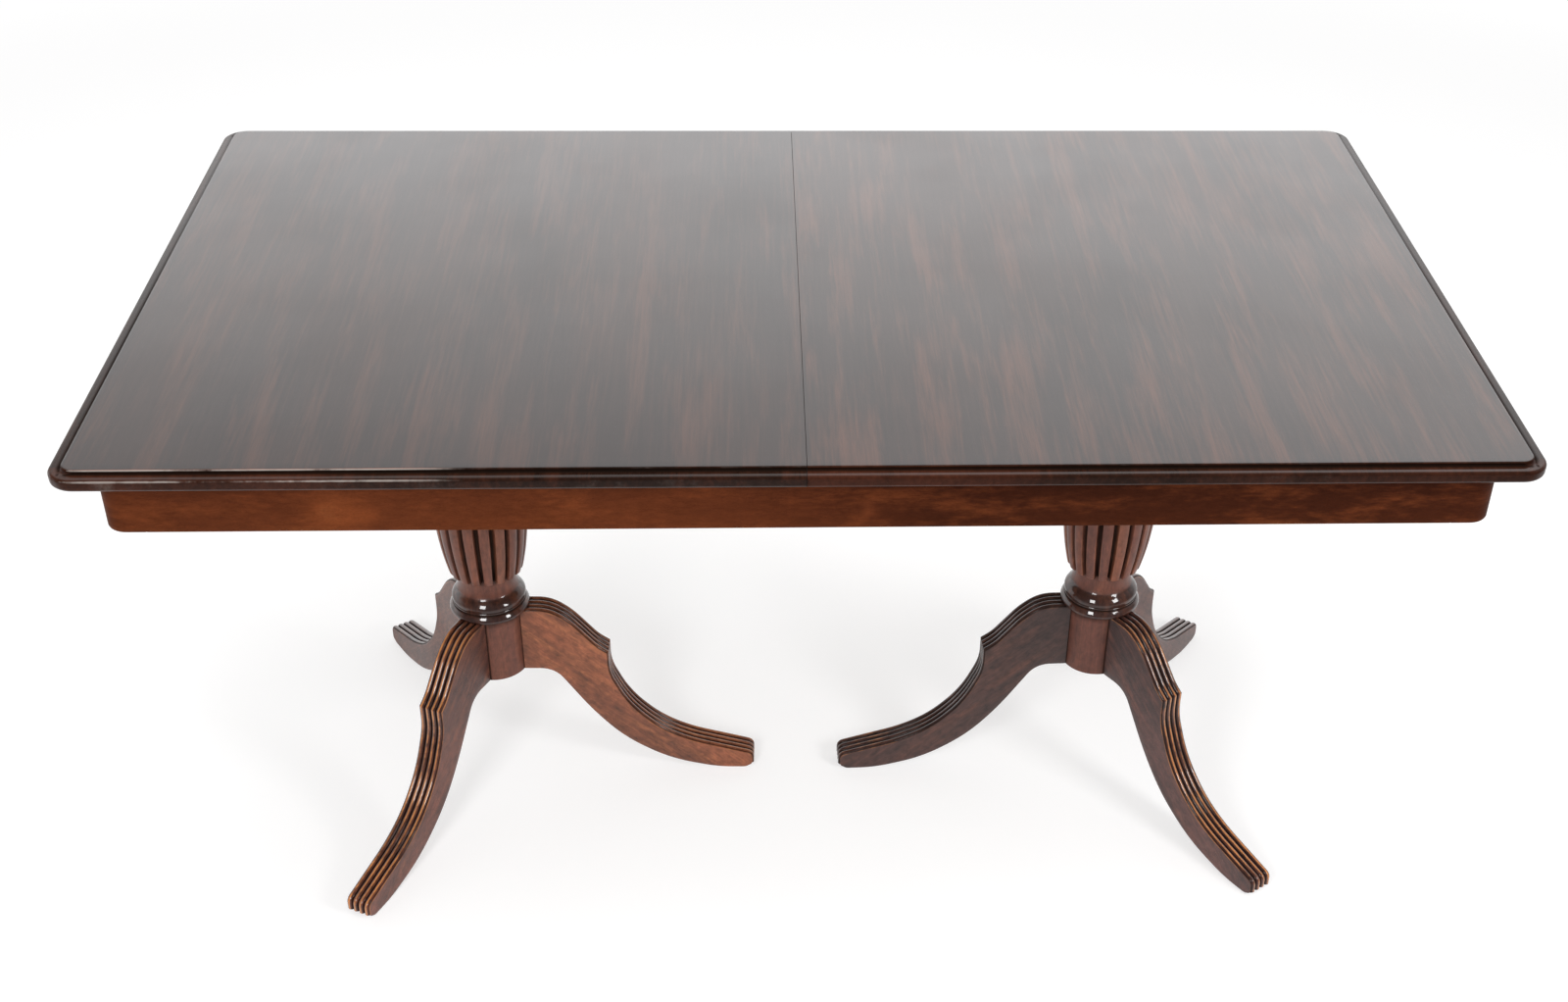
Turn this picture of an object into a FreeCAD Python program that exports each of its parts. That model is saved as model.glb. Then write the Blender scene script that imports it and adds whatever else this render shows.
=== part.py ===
import FreeCAD, Part
import math
import os
import re
import sys

import Sketcher
from FreeCAD import Placement, Rotation, Vector

# A twin-pedestal dining table whose top parts in the middle.
# Millimetres. X runs along the table, Y from the front edge to the back one and Z up.
# The origin lies on the floor under the middle of the top.

doc = FreeCAD.newDocument("dining_table")
sheet = doc.addObject("Spreadsheet::Sheet", "dims")

# Driving dimensions: one named value for each size that can be set by itself.
SIZES = {
    # the top
    "table_height": 760,
    "top_length": 1560,
    "top_width": 915,
    "top_thickness": 18,
    "top_corner_radius": 30,
    "seam_gap": 0.6,
    "panel_inset": 14,
    "panel_rise": 4.5,
    "panel_cove_radius": 3.2,
    "panel_lip_radius": 0.8,
    "bead_radius": 6.5,
    # play between pieces that slide on each other
    "sliding_gap": 0.3,
    "relief": 0.5,
    "overrun": 1,
    # the apron frame
    "apron_overhang": 37,
    "apron_thickness": 20,
    "apron_depth": 73,
    "corner_block_side": 46,
    "corner_block_radius": 25,
    "tenon_length": 9,
    "tenon_thickness": 8,
    "tenon_shoulder": 10,
    # cross rails and dovetail runners
    "rail_thickness": 30,
    "rail_drop": 10,
    "inner_rail_depth": 60,
    "middle_rail_x": 90,
    "runner_height": 36,
    "runner_neck_width": 30,
    "runner_foot_width": 44,
    "runner_outer_reach": 480,
    "runner_inner_reach": 346,
    "runner_spacing": 60.075,
    "top_travel": 225,
    # pedestal boards and columns
    "pedestal_x": 413,
    "board_length": 220,
    "board_thickness": 22,
    "hub_radius": 45,
    "hub_bottom": 176,
    "hub_top": 273,
    "hub_lip": 2,
    "bead_ring_radius": 53,
    "bead_ring_height": 17,
    "fillet_radius": 49,
    "fillet_height": 5,
    "cup_height": 27,
    "neck_radius": 37,
    "neck_height": 5,
    "urn_radius": 61.5,
    "reed_count": 18,
    "astragal_radius": 48,
    "astragal_height": 9,
    "throat_radius": 35,
    "throat_height": 87,
    "collar_radius": 46,
    "collar_height": 12,
    "plinth_radius": 54,
    "plinth_height": 24,
    "column_tenon_radius": 20,
    # legs
    "leg_thickness": 35,
    "leg_reach": 354,
    "leg_reeds": 4,
    "leg_reed_depth": 4,
    "leg_bend_radius": 13,
    "tongue_neck_width": 14,
    "tongue_foot_width": 20,
    "tongue_depth": 14,
    "tongue_stop": 12,
    # the steel plate under each pedestal
    "plate_thickness": 3,
    "plate_arm_width": 18,
    "plate_arm_reach": 72,
    "plate_hub_radius": 26,
    # screws, pins and dowels
    "screw_radius": 2.5,
    "screw_head_radius": 5,
    "screw_head_height": 3,
    "plate_screw_length": 22,
    "plate_screw_reach": 60,
    "board_screw_length": 44,
    "board_screw_offset": 9,
    "runner_screw_length": 46,
    "runner_screw_first": 60,
    "runner_screw_pitch": 125,
    "stop_pin_radius": 3,
    "stop_pin_drop": 10,
    "stop_pin_bite": 14,
    "dowel_radius": 4,
    "dowel_reach": 18,
    "dowel_pitch": 190,
    # brass catches under the seam
    "catch_pivot_x": 30,
    "catch_thickness": 3,
    "catch_eye_radius": 9,
    "catch_arm_width": 11,
    "catch_head_length": 20,
    "catch_head_width": 22,
    "catch_pin_radius": 2.5,
    "catch_pin_head_radius": 5.5,
    "catch_pin_head_height": 2.2,
    "catch_pin_bite": 12,
    "catch_runner_gap": 10.1275,
}

# How far out the catches lie, as a share of the frame's half width inside
CATCH_SHARE = 0.88

# Places and sizes that follow from the driving dimensions, as spreadsheet expressions.
DERIVED = {
    "half_length": "top_length / 2",
    "half_width": "top_width / 2",
    "seam_x": "seam_gap / 2",
    "top_underside": "table_height - top_thickness",
    "ledge_z": "table_height - panel_rise",
    "frame_top": "top_underside - sliding_gap",
    "frame_x": "half_length - apron_overhang",
    "frame_y": "half_width - apron_overhang",
    "frame_bottom": "frame_top - apron_depth",
    "inside_x": "frame_x - apron_thickness",
    "inside_y": "frame_y - apron_thickness",
    "block_x": "frame_x - corner_block_side",
    "block_y": "frame_y - corner_block_side",
    "tenon_back": "(apron_thickness - tenon_thickness) / 2",
    "rail_top": "top_underside - rail_drop",
    "runner_bottom": "top_underside - runner_height",
    "board_top": "rail_top - inner_rail_depth + board_thickness",
    "board_bottom": "board_top - board_thickness",
    "hub_flat": "sqrt(hub_radius * hub_radius - leg_thickness * leg_thickness / 4)",
    "ring_top": "hub_top + hub_lip + bead_ring_height",
    "fillet_top": "ring_top + fillet_height",
    "cup_top": "fillet_top + cup_height",
    "urn_bottom": "cup_top + neck_height",
    "plinth_bottom": "board_bottom - plinth_height",
    "astragal_top": "plinth_bottom - throat_height",
    "urn_top": "astragal_top - astragal_height",
    "urn_height": "urn_top - urn_bottom",
    "collar_top": "(astragal_top + plinth_bottom) / 2 + collar_height",
    "collar_bottom": "collar_top - collar_height",
    "leg_top": "hub_top + hub_lip",
    "plate_bottom": "hub_bottom - plate_thickness",
    "catch_y": f"{CATCH_SHARE} * inside_y",
    "catch_top": "top_underside - relief",
    "catch_bottom": "catch_top - catch_thickness",
    "catch_radius": "2 * catch_pivot_x",
    "right_runner_edge": "catch_y - catch_radius - catch_head_length / 2 - catch_runner_gap",
    "right_runner_y": "right_runner_edge - runner_foot_width / 2",
    "left_runner_y": "right_runner_y - runner_spacing",
    "catch_pin_low": "catch_bottom - sliding_gap - catch_pin_head_height",
}

for row, (alias, size) in enumerate(SIZES.items(), start=1):
    sheet.set(f"A{row}", alias)
    sheet.set(f"B{row}", str(size))
    sheet.setAlias(f"B{row}", alias)
doc.recompute()


def formula(text):
    """Write out a text of names as an expression of spreadsheet cells."""
    def replace(found):
        word = found.group(0)
        if word in DERIVED:
            return "(" + formula(DERIVED[word]) + ")"
        return f"dims.{word}" if word in SIZES else word
    return re.sub(r"[A-Za-z_]\w*", replace, text)


def number(text):
    """The present value of a text of names, in millimetres."""
    return float(sheet.evalExpression(formula(text)))


def bind(thing, **places):
    """Tie properties to the sheet; x, y and z stand for the Placement."""
    for name, text in places.items():
        path = f"Placement.Base.{name}" if name in ("x", "y", "z") else name
        thing.setExpression(path, formula(text))
    return thing


# Plain solids and booleans

def add(kind, label):
    thing = doc.addObject(kind, label)
    thing.Label = label
    return thing


def box(label, x, y, z):
    """A box between a low and a high place on each axis."""
    made = add("Part::Box", label)
    sides = [f"({high}) - ({low})" for low, high in (x, y, z)]
    bind(made, Length=sides[0], Width=sides[1], Height=sides[2])
    return bind(made, x=x[0], y=y[0], z=z[0])


def cylinder(label, radius, height, x="0", y="0", z="0"):
    made = add("Part::Cylinder", label)
    return bind(made, Radius=radius, Height=height, x=x, y=y, z=z)


def fuse(label, pieces):
    made = add("Part::MultiFuse", label)
    made.Shapes = pieces
    return made


def group(label, pieces):
    made = add("Part::Compound", label)
    made.Links = pieces
    return made


def cut(label, base, tools):
    made = add("Part::Cut", label)
    made.Base = base
    made.Tool = tools[0] if len(tools) == 1 else group(label + "_tools", tools)
    return made


def common(label, base, tool):
    made = add("Part::Common", label)
    made.Base = base
    made.Tool = tool
    return made


def copy_of(source, label, x="0", y="0", z="0", turn=0):
    """A linked copy, turned about the upright axis and moved."""
    made = add("App::Link", label)
    made.LinkedObject = source
    made.LinkTransform = True
    made.Placement = Placement(Vector(), Rotation(Vector(0, 0, 1), turn))
    return bind(made, x=x, y=y, z=z)


# Sketches, prisms and turned pieces

def origin_plane(body, role):
    return next(item for item in body.Origin.OriginFeatures if item.Role == role)


def arc_through(start, via, end, leftward):
    """A sketch's arc, which always runs anticlockwise."""
    centre = Part.Arc(start, via, end).toShape().Curve.Center
    spokes = [start - centre, end - centre] if leftward else [end - centre, start - centre]
    low, high = [math.atan2(spoke.y, spoke.x) for spoke in spokes]
    high += 2 * math.pi if high < low else 0
    circle = Part.Circle(centre, Vector(0, 0, 1), spokes[0].Length)
    return Part.ArcOfCircle(circle, low, high)


def outline(body, name, role, points, height="0"):
    """A closed sketch. (x, y) ends a straight side; (via_x, via_y, x, y) ends an arc."""
    sketch = body.newObject("Sketcher::SketchObject", name)
    sketch.AttachmentSupport = [(origin_plane(body, role), "")]
    sketch.MapMode = "FlatFace"
    sketch.setExpression("AttachmentOffset.Base.z", formula(height))
    ends = [Vector(number(point[-2]), number(point[-1]), 0) for point in points]
    tips = []
    for index, point in enumerate(points):
        start, end = ends[index - 1], ends[index]
        if len(point) == 2:
            side = sketch.addGeometry(Part.LineSegment(start, end), False)
            tips.append((side, 1, 2))
            continue
        via = Vector(number(point[0]), number(point[1]), 0)
        leftward = (via - start).cross(end - via).z > 0
        side = sketch.addGeometry(arc_through(start, via, end, leftward), False)
        tips.append((side, 1, 2) if leftward else (side, 2, 1))
    for index, (side, first, last) in enumerate(tips):
        following = tips[(index + 1) % len(tips)]
        sketch.addConstraint(Sketcher.Constraint("Coincident", side, last, following[0], following[1]))
        pin_down(sketch, side, last, points[index][-2:])
        if len(points[index]) == 4:
            via = Vector(number(points[index][0]), number(points[index][1]), 0)
            mark = sketch.addGeometry(Part.Point(via), True)
            pin_down(sketch, mark, 1, points[index][:2])
            sketch.addConstraint(Sketcher.Constraint("PointOnObject", mark, 1, side))
    return sketch


def pin_down(sketch, item, end, place):
    """Tie one point of a sketch to the sheet in both directions."""
    for kind, text in zip(("DistanceX", "DistanceY"), place):
        index = sketch.addConstraint(Sketcher.Constraint(kind, -1, 1, item, end, number(text)))
        sketch.setExpression(f"Constraints[{index}]", formula(text))


def pad(body, name, sketch, length):
    made = body.newObject("PartDesign::Pad", name)
    made.Profile = sketch
    return bind(made, Length=length)


def prism(label, role, points, start, length):
    body = add("PartDesign::Body", label)
    sketch = outline(body, label + "_outline", role, points, start)
    pad(body, label + "_pad", sketch, length)
    return body


def turned(label, points):
    """A turned piece from its half section, x being the radius and y the height."""
    body = add("PartDesign::Body", label)
    sketch = outline(body, label + "_section", "XZ_Plane", points)
    made = body.newObject("PartDesign::Revolution", label + "_turning")
    made.Profile = sketch
    made.ReferenceAxis = (sketch, ["V_Axis"])
    made.Angle = 360
    return body


def soften(body, name, radius, picks):
    """Round the edges of the body's last feature that the test picks."""
    doc.recompute()
    base = body.Tip
    edges = [f"Edge{n}" for n, edge in enumerate(base.Shape.Edges, start=1) if picks(edge)]
    made = body.newObject("PartDesign::Fillet", name)
    made.Base = (base, edges)
    return bind(made, Radius=radius)


def near(first, second):
    return abs(first - second) < number("sliding_gap") / 10


def rectangle(x0, x1, y0, y1):
    return [(x0, y0), (x1, y0), (x1, y1), (x0, y1)]


def signed(side, text):
    return text if side > 0 else f"-({text})"


def span(side, low, high):
    """A stretch of X or Y on one side of the middle, low end first."""
    return (low, high) if side > 0 else (f"-({high})", f"-({low})")


SIDES = {"left": -1, "right": 1}
FACES = {"front": -1, "back": 1}


# Fasteners: one screw of each length, copied to its places

def screw(label, length):
    """A countersunk wood screw with its head's face at the origin, pointing up."""
    shank = cylinder(label + "_shank", "screw_radius", length)
    head = add("Part::Cone", label + "_head")
    bind(head, Radius1="screw_head_radius", Radius2="screw_radius", Height="screw_head_height")
    return fuse(label, [shank, head])


plate_screw = screw("plate_screw", "plate_screw_length")
board_screw = screw("board_screw", "board_screw_length")
runner_screw = screw("runner_screw", "runner_screw_length")


# The apron: four boards tenoned into rounded corner blocks

def tenon(label, x, y):
    return box(label, x, y, ("frame_bottom + tenon_shoulder", "frame_top - tenon_shoulder"))


def corner_tenons(side_name, face_name):
    """The tenons of a long and of an end board in one corner block."""
    side, face = SIDES[side_name], FACES[face_name]
    name = f"{face_name}_{side_name}"
    depth = ("frame_y - tenon_back - tenon_thickness", "frame_y - tenon_back")
    breadth = ("frame_x - tenon_back - tenon_thickness", "frame_x - tenon_back")
    along = ("block_x - overrun", "block_x + tenon_length")
    across = ("block_y - overrun", "block_y + tenon_length")
    long_one = tenon(f"long_tenon_{name}", span(side, *along), span(face, *depth))
    end_one = tenon(f"end_tenon_{name}", span(side, *breadth), span(face, *across))
    return long_one, end_one


TENONS = {(side, face): corner_tenons(side, face) for side in SIDES for face in FACES}
frame_heights = ("frame_bottom", "frame_top")


def corner_block(side_name, face_name):
    side, face = SIDES[side_name], FACES[face_name]
    label = f"corner_block_{face_name}_{side_name}"
    x_ends = span(side, "block_x", "frame_x")
    y_ends = span(face, "block_y", "frame_y")
    blank = prism(label + "_blank", "XY_Plane", rectangle(*x_ends, *y_ends), "frame_bottom",
                  "frame_top - frame_bottom")

    def outer_corner(edge):
        middle = edge.CenterOfMass
        return near(abs(middle.x), number("frame_x")) and near(abs(middle.y), number("frame_y"))
    soften(blank, label + "_rounding", "corner_block_radius", outer_corner)
    return cut(label, blank, list(TENONS[side_name, face_name]))


# Cross rails with dovetail notches, which the runners slide in

def runner_section(centre, grow):
    """The dovetail of a runner across Y and Z, or its notch when grown by the sliding gap."""
    neck = f"runner_neck_width / 2 + {grow}"
    foot = f"runner_foot_width / 2 + {grow}"
    top = f"top_underside + {grow}"
    bottom = f"runner_bottom - {grow}"
    return [(f"{centre} - ({foot})", bottom), (f"{centre} + ({foot})", bottom),
            (f"{centre} + ({neck})", top), (f"{centre} - ({neck})", top)]


RUNNERS = {(side, face): f"{FACES[face]} * {side}_runner_y" for side in SIDES for face in FACES}


def rail(label, x, bottom, passing):
    """A board across the frame, tenoned into both aprons and notched for the runners that pass it."""
    ends = (f"{x} - rail_thickness / 2", f"{x} + rail_thickness / 2")
    board = box(label + "_board", ends, ("-inside_y", "inside_y"), (bottom, "rail_top"))
    stub = box(label + "_stub", (f"{x} - tenon_thickness / 2", f"{x} + tenon_thickness / 2"),
               ("-inside_y - tenon_length", "inside_y + tenon_length"),
               (f"{bottom} + tenon_shoulder", "rail_top - tenon_shoulder"))
    notches = []
    for (side, face), centre in RUNNERS.items():
        if side in passing:
            notch = prism(f"{label}_notch_{side}_{face}", "YZ_Plane", runner_section(centre, "sliding_gap"),
                          f"{ends[0]} - overrun", "rail_thickness + 2 * overrun")
            notches.append(notch)
    return cut(label, fuse(label + "_blank", [board, stub]), notches), stub


RAILS = {
    "left_end": ("-pedestal_x", "board_top", ["left"]),
    "left_middle": ("-middle_rail_x", "board_bottom", ["left", "right"]),
    "right_middle": ("middle_rail_x", "board_bottom", ["left", "right"]),
    "right_end": ("pedestal_x", "board_top", ["right"]),
}
rails = {name: rail(f"cross_rail_{name}", *place) for name, place in RAILS.items()}


def long_apron(face_name):
    face = FACES[face_name]
    label = f"apron_{face_name}"
    board = box(label + "_board", ("-block_x", "block_x"), span(face, "inside_y", "frame_y"),
                frame_heights)
    ends = [TENONS[side, face_name][0] for side in SIDES]
    whole = fuse(label + "_blank", [board, *ends])
    return cut(label, whole, [stub for _, stub in rails.values()])


def end_apron(side_name):
    side = SIDES[side_name]
    label = f"apron_end_{side_name}"
    board = box(label + "_board", span(side, "inside_x", "frame_x"), ("-block_y", "block_y"),
                frame_heights)
    ends = [TENONS[side_name, face][1] for face in FACES]
    return fuse(label, [board, *ends])


# Pedestal boards, screwed up into the end rails

# Places of a row of board screws across the table, as shares of the frame's half width inside
BOARD_SCREW_SHARES = (-0.8, -0.3, 0.3, 0.8)


def board_screws(side_name):
    places = []
    x = signed(SIDES[side_name], "pedestal_x")
    for row in (-1, 1):
        for share in BOARD_SCREW_SHARES:
            places.append(copy_of(board_screw, f"board_screw_{side_name}_{len(places)}",
                                  f"{x} + {row} * board_screw_offset", f"{share} * inside_y",
                                  "board_bottom"))
    return group(f"board_screws_{side_name}", places)


def pedestal_board(side_name, screws):
    label = f"pedestal_board_{side_name}"
    x = signed(SIDES[side_name], "pedestal_x")
    blank = box(label + "_blank", (f"{x} - board_length / 2", f"{x} + board_length / 2"),
                ("-inside_y", "inside_y"), ("board_bottom", "board_top"))
    bore = cylinder(label + "_bore", "column_tenon_radius", "board_thickness + 2 * overrun", x, "0",
                    "board_bottom - overrun")
    return cut(label, blank, [bore, screws])


# Columns: a turned core, a reeded urn and three dovetail sockets for the legs

# How the urn swells: share of its height, share of its greatest radius
URN_SHARES = [(0, 0.715), (0.13, 0.845), (0.3, 0.96), (0.47, 1), (0.7, 0.945), (0.88, 0.83), (1, 0.74)]
GROOVE_DEPTH_SHARE = 0.085
# Half width of a reed, as a share of the pitch, and how far its shoulders fall below its crest
REED_HALF_SHARE = 0.39
REED_SHOULDER_SHARE = 0.985
# Where the cup and the upper throat swell, as shares of what they run between
CUP_SWELL_SHARE = 0.78
CUP_MIDDLE_SHARE = 0.5
THROAT_SWELL_SHARE = 0.92


def column_section():
    """Half section of the turned wood; behind the reeds it is only their core."""
    core = "throat_radius"
    ring_mid = "hub_top + hub_lip + bead_ring_height / 2"
    return [
        ("0", "hub_bottom"), ("hub_radius", "hub_bottom"), ("hub_radius", "hub_top + hub_lip"),
        ("hub_radius + hub_lip", "hub_top + hub_lip"),
        ("bead_ring_radius", ring_mid, "hub_radius + hub_lip", "ring_top"),
        ("fillet_radius", "ring_top"), ("fillet_radius", "fillet_top"),
        (f"neck_radius + {CUP_SWELL_SHARE} * (fillet_radius - neck_radius)",
         f"fillet_top + {CUP_MIDDLE_SHARE} * cup_height", "neck_radius", "cup_top"),
        ("neck_radius", "urn_bottom"), (core, "urn_bottom"), (core, "urn_top"),
        ("astragal_radius - astragal_height / 2", "urn_top"),
        ("astragal_radius", "urn_top + astragal_height / 2", "astragal_radius - astragal_height / 2",
         "astragal_top"),
        (core, "(astragal_top + collar_bottom) / 2", "collar_radius", "collar_bottom"),
        ("collar_radius + collar_height / 2", "collar_bottom + collar_height / 2", "collar_radius",
         "collar_top"),
        (f"{THROAT_SWELL_SHARE} * collar_radius", "(collar_top + plinth_bottom) / 2", "plinth_radius",
         "plinth_bottom"),
        ("plinth_radius", "board_bottom"), ("column_tenon_radius", "board_bottom"),
        ("column_tenon_radius", "board_top"), ("0", "board_top"),
    ]


def reeded_ring(radius, height):
    """One closed ring of gently rounded reeds with sharp grooves between them."""
    count = int(number("reed_count"))
    step = 2 * math.pi / count
    half = REED_HALF_SHARE * step
    shoulder = REED_SHOULDER_SHARE * radius
    valley = radius * (1 - GROOVE_DEPTH_SHARE)

    def at(distance, angle):
        return Vector(distance * math.cos(angle), distance * math.sin(angle), height)
    edges = []
    for reed in range(count):
        middle = reed * step
        left, right = at(shoulder, middle - half), at(shoulder, middle + half)
        edges.append(Part.Arc(left, at(radius, middle), right).toShape())
        edges.append(Part.makeLine(right, at(valley, middle + step / 2)))
        edges.append(Part.makeLine(at(valley, middle + step / 2), at(shoulder, middle + step - half)))
    return Part.Wire(edges)


def urn():
    """The reeded swelling, lofted through its rings."""
    made = add("Part::Feature", "urn_reeds")
    rings = []
    for height_share, radius_share in URN_SHARES:
        height = number("urn_bottom") + height_share * number("urn_height")
        rings.append(reeded_ring(radius_share * number("urn_radius"), height))
    made.Shape = Part.makeLoft(rings, True, False)
    return made


def turn_about_axis(angle):
    return Rotation(Vector(0, 0, 1), angle)


# Bearing of each leg about its column, measured from +X; the sockets were laid out by eye
LEGS = {
    "left": {"inner": -1, "back": 122, "front": 243},
    "right": {"inner": 182, "back": 55, "front": 304},
}

tongue = prism("leg_tongue", "XY_Plane",
               [("hub_flat + overrun", "-tongue_neck_width / 2"),
                ("hub_flat + overrun", "tongue_neck_width / 2"),
                ("hub_flat", "tongue_neck_width / 2"),
                ("hub_flat - tongue_depth", "tongue_foot_width / 2"),
                ("hub_flat - tongue_depth", "-tongue_foot_width / 2"),
                ("hub_flat", "-tongue_neck_width / 2")],
               "hub_bottom", "hub_top - tongue_stop - hub_bottom")
leg_seat = box("leg_seat", ("hub_flat", "hub_radius + overrun"), ("-leg_thickness / 2", "leg_thickness / 2"),
               ("hub_bottom - overrun", "hub_top + hub_lip"))
column_core = turned("column_core", column_section())
column_body = fuse("column_body", [column_core, urn()])


# Legs: reeded sabre legs on dovetail tongues

# Corners that the leg's curves round off, from the hub's flat (0) to the toe (1) and up to the leg's top (1)
KNEE_SHARE = (0.37, 0.738)
UPPER_SHARES = [(0, 1), (0.121, 1), (0.209, 0.933), (0.324, 0.775), KNEE_SHARE]
LOWER_SHARES = [KNEE_SHARE, (0.37, 0.613), (0.449, 0.4145), (0.58, 0.265), (0.71, 0.186), (1, 0.094),
                (1, 0.029)]
UNDERSIDE_SHARES = [(1, 0.029), (0.9616, 0), (0.837, 0), (0.6205, 0.056), (0.4234, 0.196), (0.2896, 0.366)]
UNDERSIDE_ROOT_SHARE = 0.13
# The largest cut-back of a rounded corner, as a share of the shorter run beside it
CUT_BACK_SHARE = 0.49
# How much of the leg's bend the sole's front edge and the root of the underside are rounded by
SOLE_BEND_SHARE = 0.25
ROOT_BEND_SHARE = 0.5
# The two screws of each arm, as shares of the outer one's reach
PLATE_SCREW_SHARES = [0.5, 1]


def leg_point(shares):
    reach = number("leg_reach - hub_flat")
    return Vector(number("hub_flat") + shares[0] * reach, 0, shares[1] * number("leg_top"))


def rounded_path(corners, largest):
    """Straight runs joined by tangent arcs that round the corners; some corners have a largest cut-back."""
    edges = []
    start = corners[0]
    for place, (before, corner, after) in enumerate(zip(corners, corners[1:], corners[2:]), start=1):
        back = min((corner - before).Length, (after - corner).Length) * CUT_BACK_SHARE
        back = min(back, largest.get(place, back))
        to_before = (before - corner).normalize()
        to_after = (after - corner).normalize()
        first = corner + to_before * back
        last = corner + to_after * back
        half = to_before.getAngle(to_after) / 2
        depth = back / math.cos(half)
        radius = back * math.tan(half)
        middle = corner + (to_before + to_after).normalize() * (depth - radius)
        edges.append(Part.makeLine(start, first))
        edges.append(Part.Arc(first, middle, last).toShape())
        start = last
    edges.append(Part.makeLine(start, corners[-1]))
    return edges


def reeding_cutter(path, start, direction):
    """What a shaped plane takes off above the reeds, swept along a path in the leg's own plane."""
    depth = number("leg_reed_depth")
    width = number("leg_thickness")
    over = number("overrun")
    count = int(number("leg_reeds"))
    pitch = width / count
    up = Vector(-direction.z, 0, direction.x)

    def at(across, height):
        return start + Vector(0, across, 0) + up * height
    edges = [Part.makeLine(at(-width / 2 - over, -depth), at(-width / 2, -depth))]
    for reed in range(count):
        left = -width / 2 + reed * pitch
        arc = Part.Arc(at(left, -depth), at(left + pitch / 2, 0), at(left + pitch, -depth))
        edges.append(arc.toShape())
    corners = [at(width / 2, -depth), at(width / 2 + over, -depth), at(width / 2 + over, depth),
               at(-width / 2 - over, depth), at(-width / 2 - over, -depth)]
    edges += [Part.makeLine(a, b) for a, b in zip(corners, corners[1:])]
    return Part.Wire(path).makePipeShell([Part.Wire(edges)], True, False)


def leg_shape():
    """One leg pointing along +X, its tongue in the hub's socket."""
    bend = number("leg_bend_radius")
    upper = [leg_point(shares) for shares in UPPER_SHARES]
    lower = [leg_point(shares) for shares in LOWER_SHARES]
    under = [leg_point(shares) for shares in UNDERSIDE_SHARES]
    root = Vector(leg_point((UNDERSIDE_ROOT_SHARE, 0)).x, 0, number("hub_bottom"))
    heel = Vector(number("hub_flat"), 0, number("hub_bottom"))
    upper_path = rounded_path(upper, {})
    lower_path = rounded_path(lower, {len(lower) - 2: bend})
    under_bends = {1: SOLE_BEND_SHARE * bend, len(under): ROOT_BEND_SHARE * bend}
    under_path = rounded_path(under + [root, heel], under_bends)
    closing = Part.makeLine(heel, upper[0])
    side = Part.Face(Part.Wire(upper_path + lower_path + under_path + [closing]))
    width = number("leg_thickness")
    side.translate(Vector(0, -width / 2, 0))
    blank = side.extrude(Vector(0, width, 0))
    over = number("overrun")
    run = (upper[1] - upper[0]).normalize()
    first = reeding_cutter(upper_path, upper[0], run)
    tip = upper[-1]
    drop = (lower[1] - lower[0]).normalize()
    beyond = Part.makeLine(lower[-1], lower[-1] - Vector(0, 0, bend))
    second = reeding_cutter(lower_path + [beyond], tip, drop)
    carved = blank.cut([first, second]).fuse(tongue.Shape)
    holes = []
    for share in PLATE_SCREW_SHARES:
        hole = plate_screw.Shape.copy()
        hole.translate(Vector(share * number("plate_screw_reach"), 0, number("plate_bottom")))
        holes.append(hole)
    return carved.cut(holes).removeSplitter()


def column(side_name):
    """The turned column with its seats and sockets, set in its place."""
    label = f"pedestal_column_{side_name}"
    tools = []
    for leg_name, bearing in LEGS[side_name].items():
        tools.append(copy_of(leg_seat, f"seat_{side_name}_{leg_name}", turn=bearing))
        tools.append(copy_of(tongue, f"socket_{side_name}_{leg_name}", turn=bearing))
    made = cut(label, column_body, tools)
    return bind(made, x=signed(SIDES[side_name], "pedestal_x"))


# Tripod plates: three steel arms let in under each hub and its legs

plate_arm = box("plate_arm", ("0", "plate_arm_reach"), ("-plate_arm_width / 2", "plate_arm_width / 2"),
                ("plate_bottom", "hub_bottom"))
plate_hub = cylinder("plate_hub", "plate_hub_radius", "plate_thickness", z="plate_bottom")


def plate_screws(side_name):
    x = signed(SIDES[side_name], "pedestal_x")
    places = []
    for leg_name, bearing in LEGS[side_name].items():
        for reach_share in PLATE_SCREW_SHARES:
            reach = f"({reach_share} * plate_screw_reach)"
            places.append(copy_of(plate_screw, f"plate_screw_{side_name}_{leg_name}_{len(places)}",
                                  f"{x} + {reach} * cos({bearing} deg)", f"{reach} * sin({bearing} deg)",
                                  "plate_bottom"))
    return group(f"tripod_screws_{side_name}", places)


def tripod_plate(side_name, screws):
    label = f"tripod_plate_{side_name}"
    x = signed(SIDES[side_name], "pedestal_x")
    arms = [copy_of(plate_arm, f"{label}_arm_{name}", x, turn=bearing)
            for name, bearing in LEGS[side_name].items()]
    hub = copy_of(plate_hub, label + "_hub", x)
    return cut(label, fuse(label + "_blank", [hub, *arms]), [screws])


# The two sliding halves of the top

RUNNER_SCREWS = 4


def runner_screws(side_name):
    side = SIDES[side_name]
    places = []
    for face in FACES:
        for index in range(RUNNER_SCREWS):
            x = f"runner_screw_first + {index} * runner_screw_pitch"
            places.append(copy_of(runner_screw, f"runner_screw_{side_name}_{face}_{index}",
                                  signed(side, x), RUNNERS[side_name, face], "runner_bottom"))
    return group(f"runner_screws_{side_name}", places)


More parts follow.
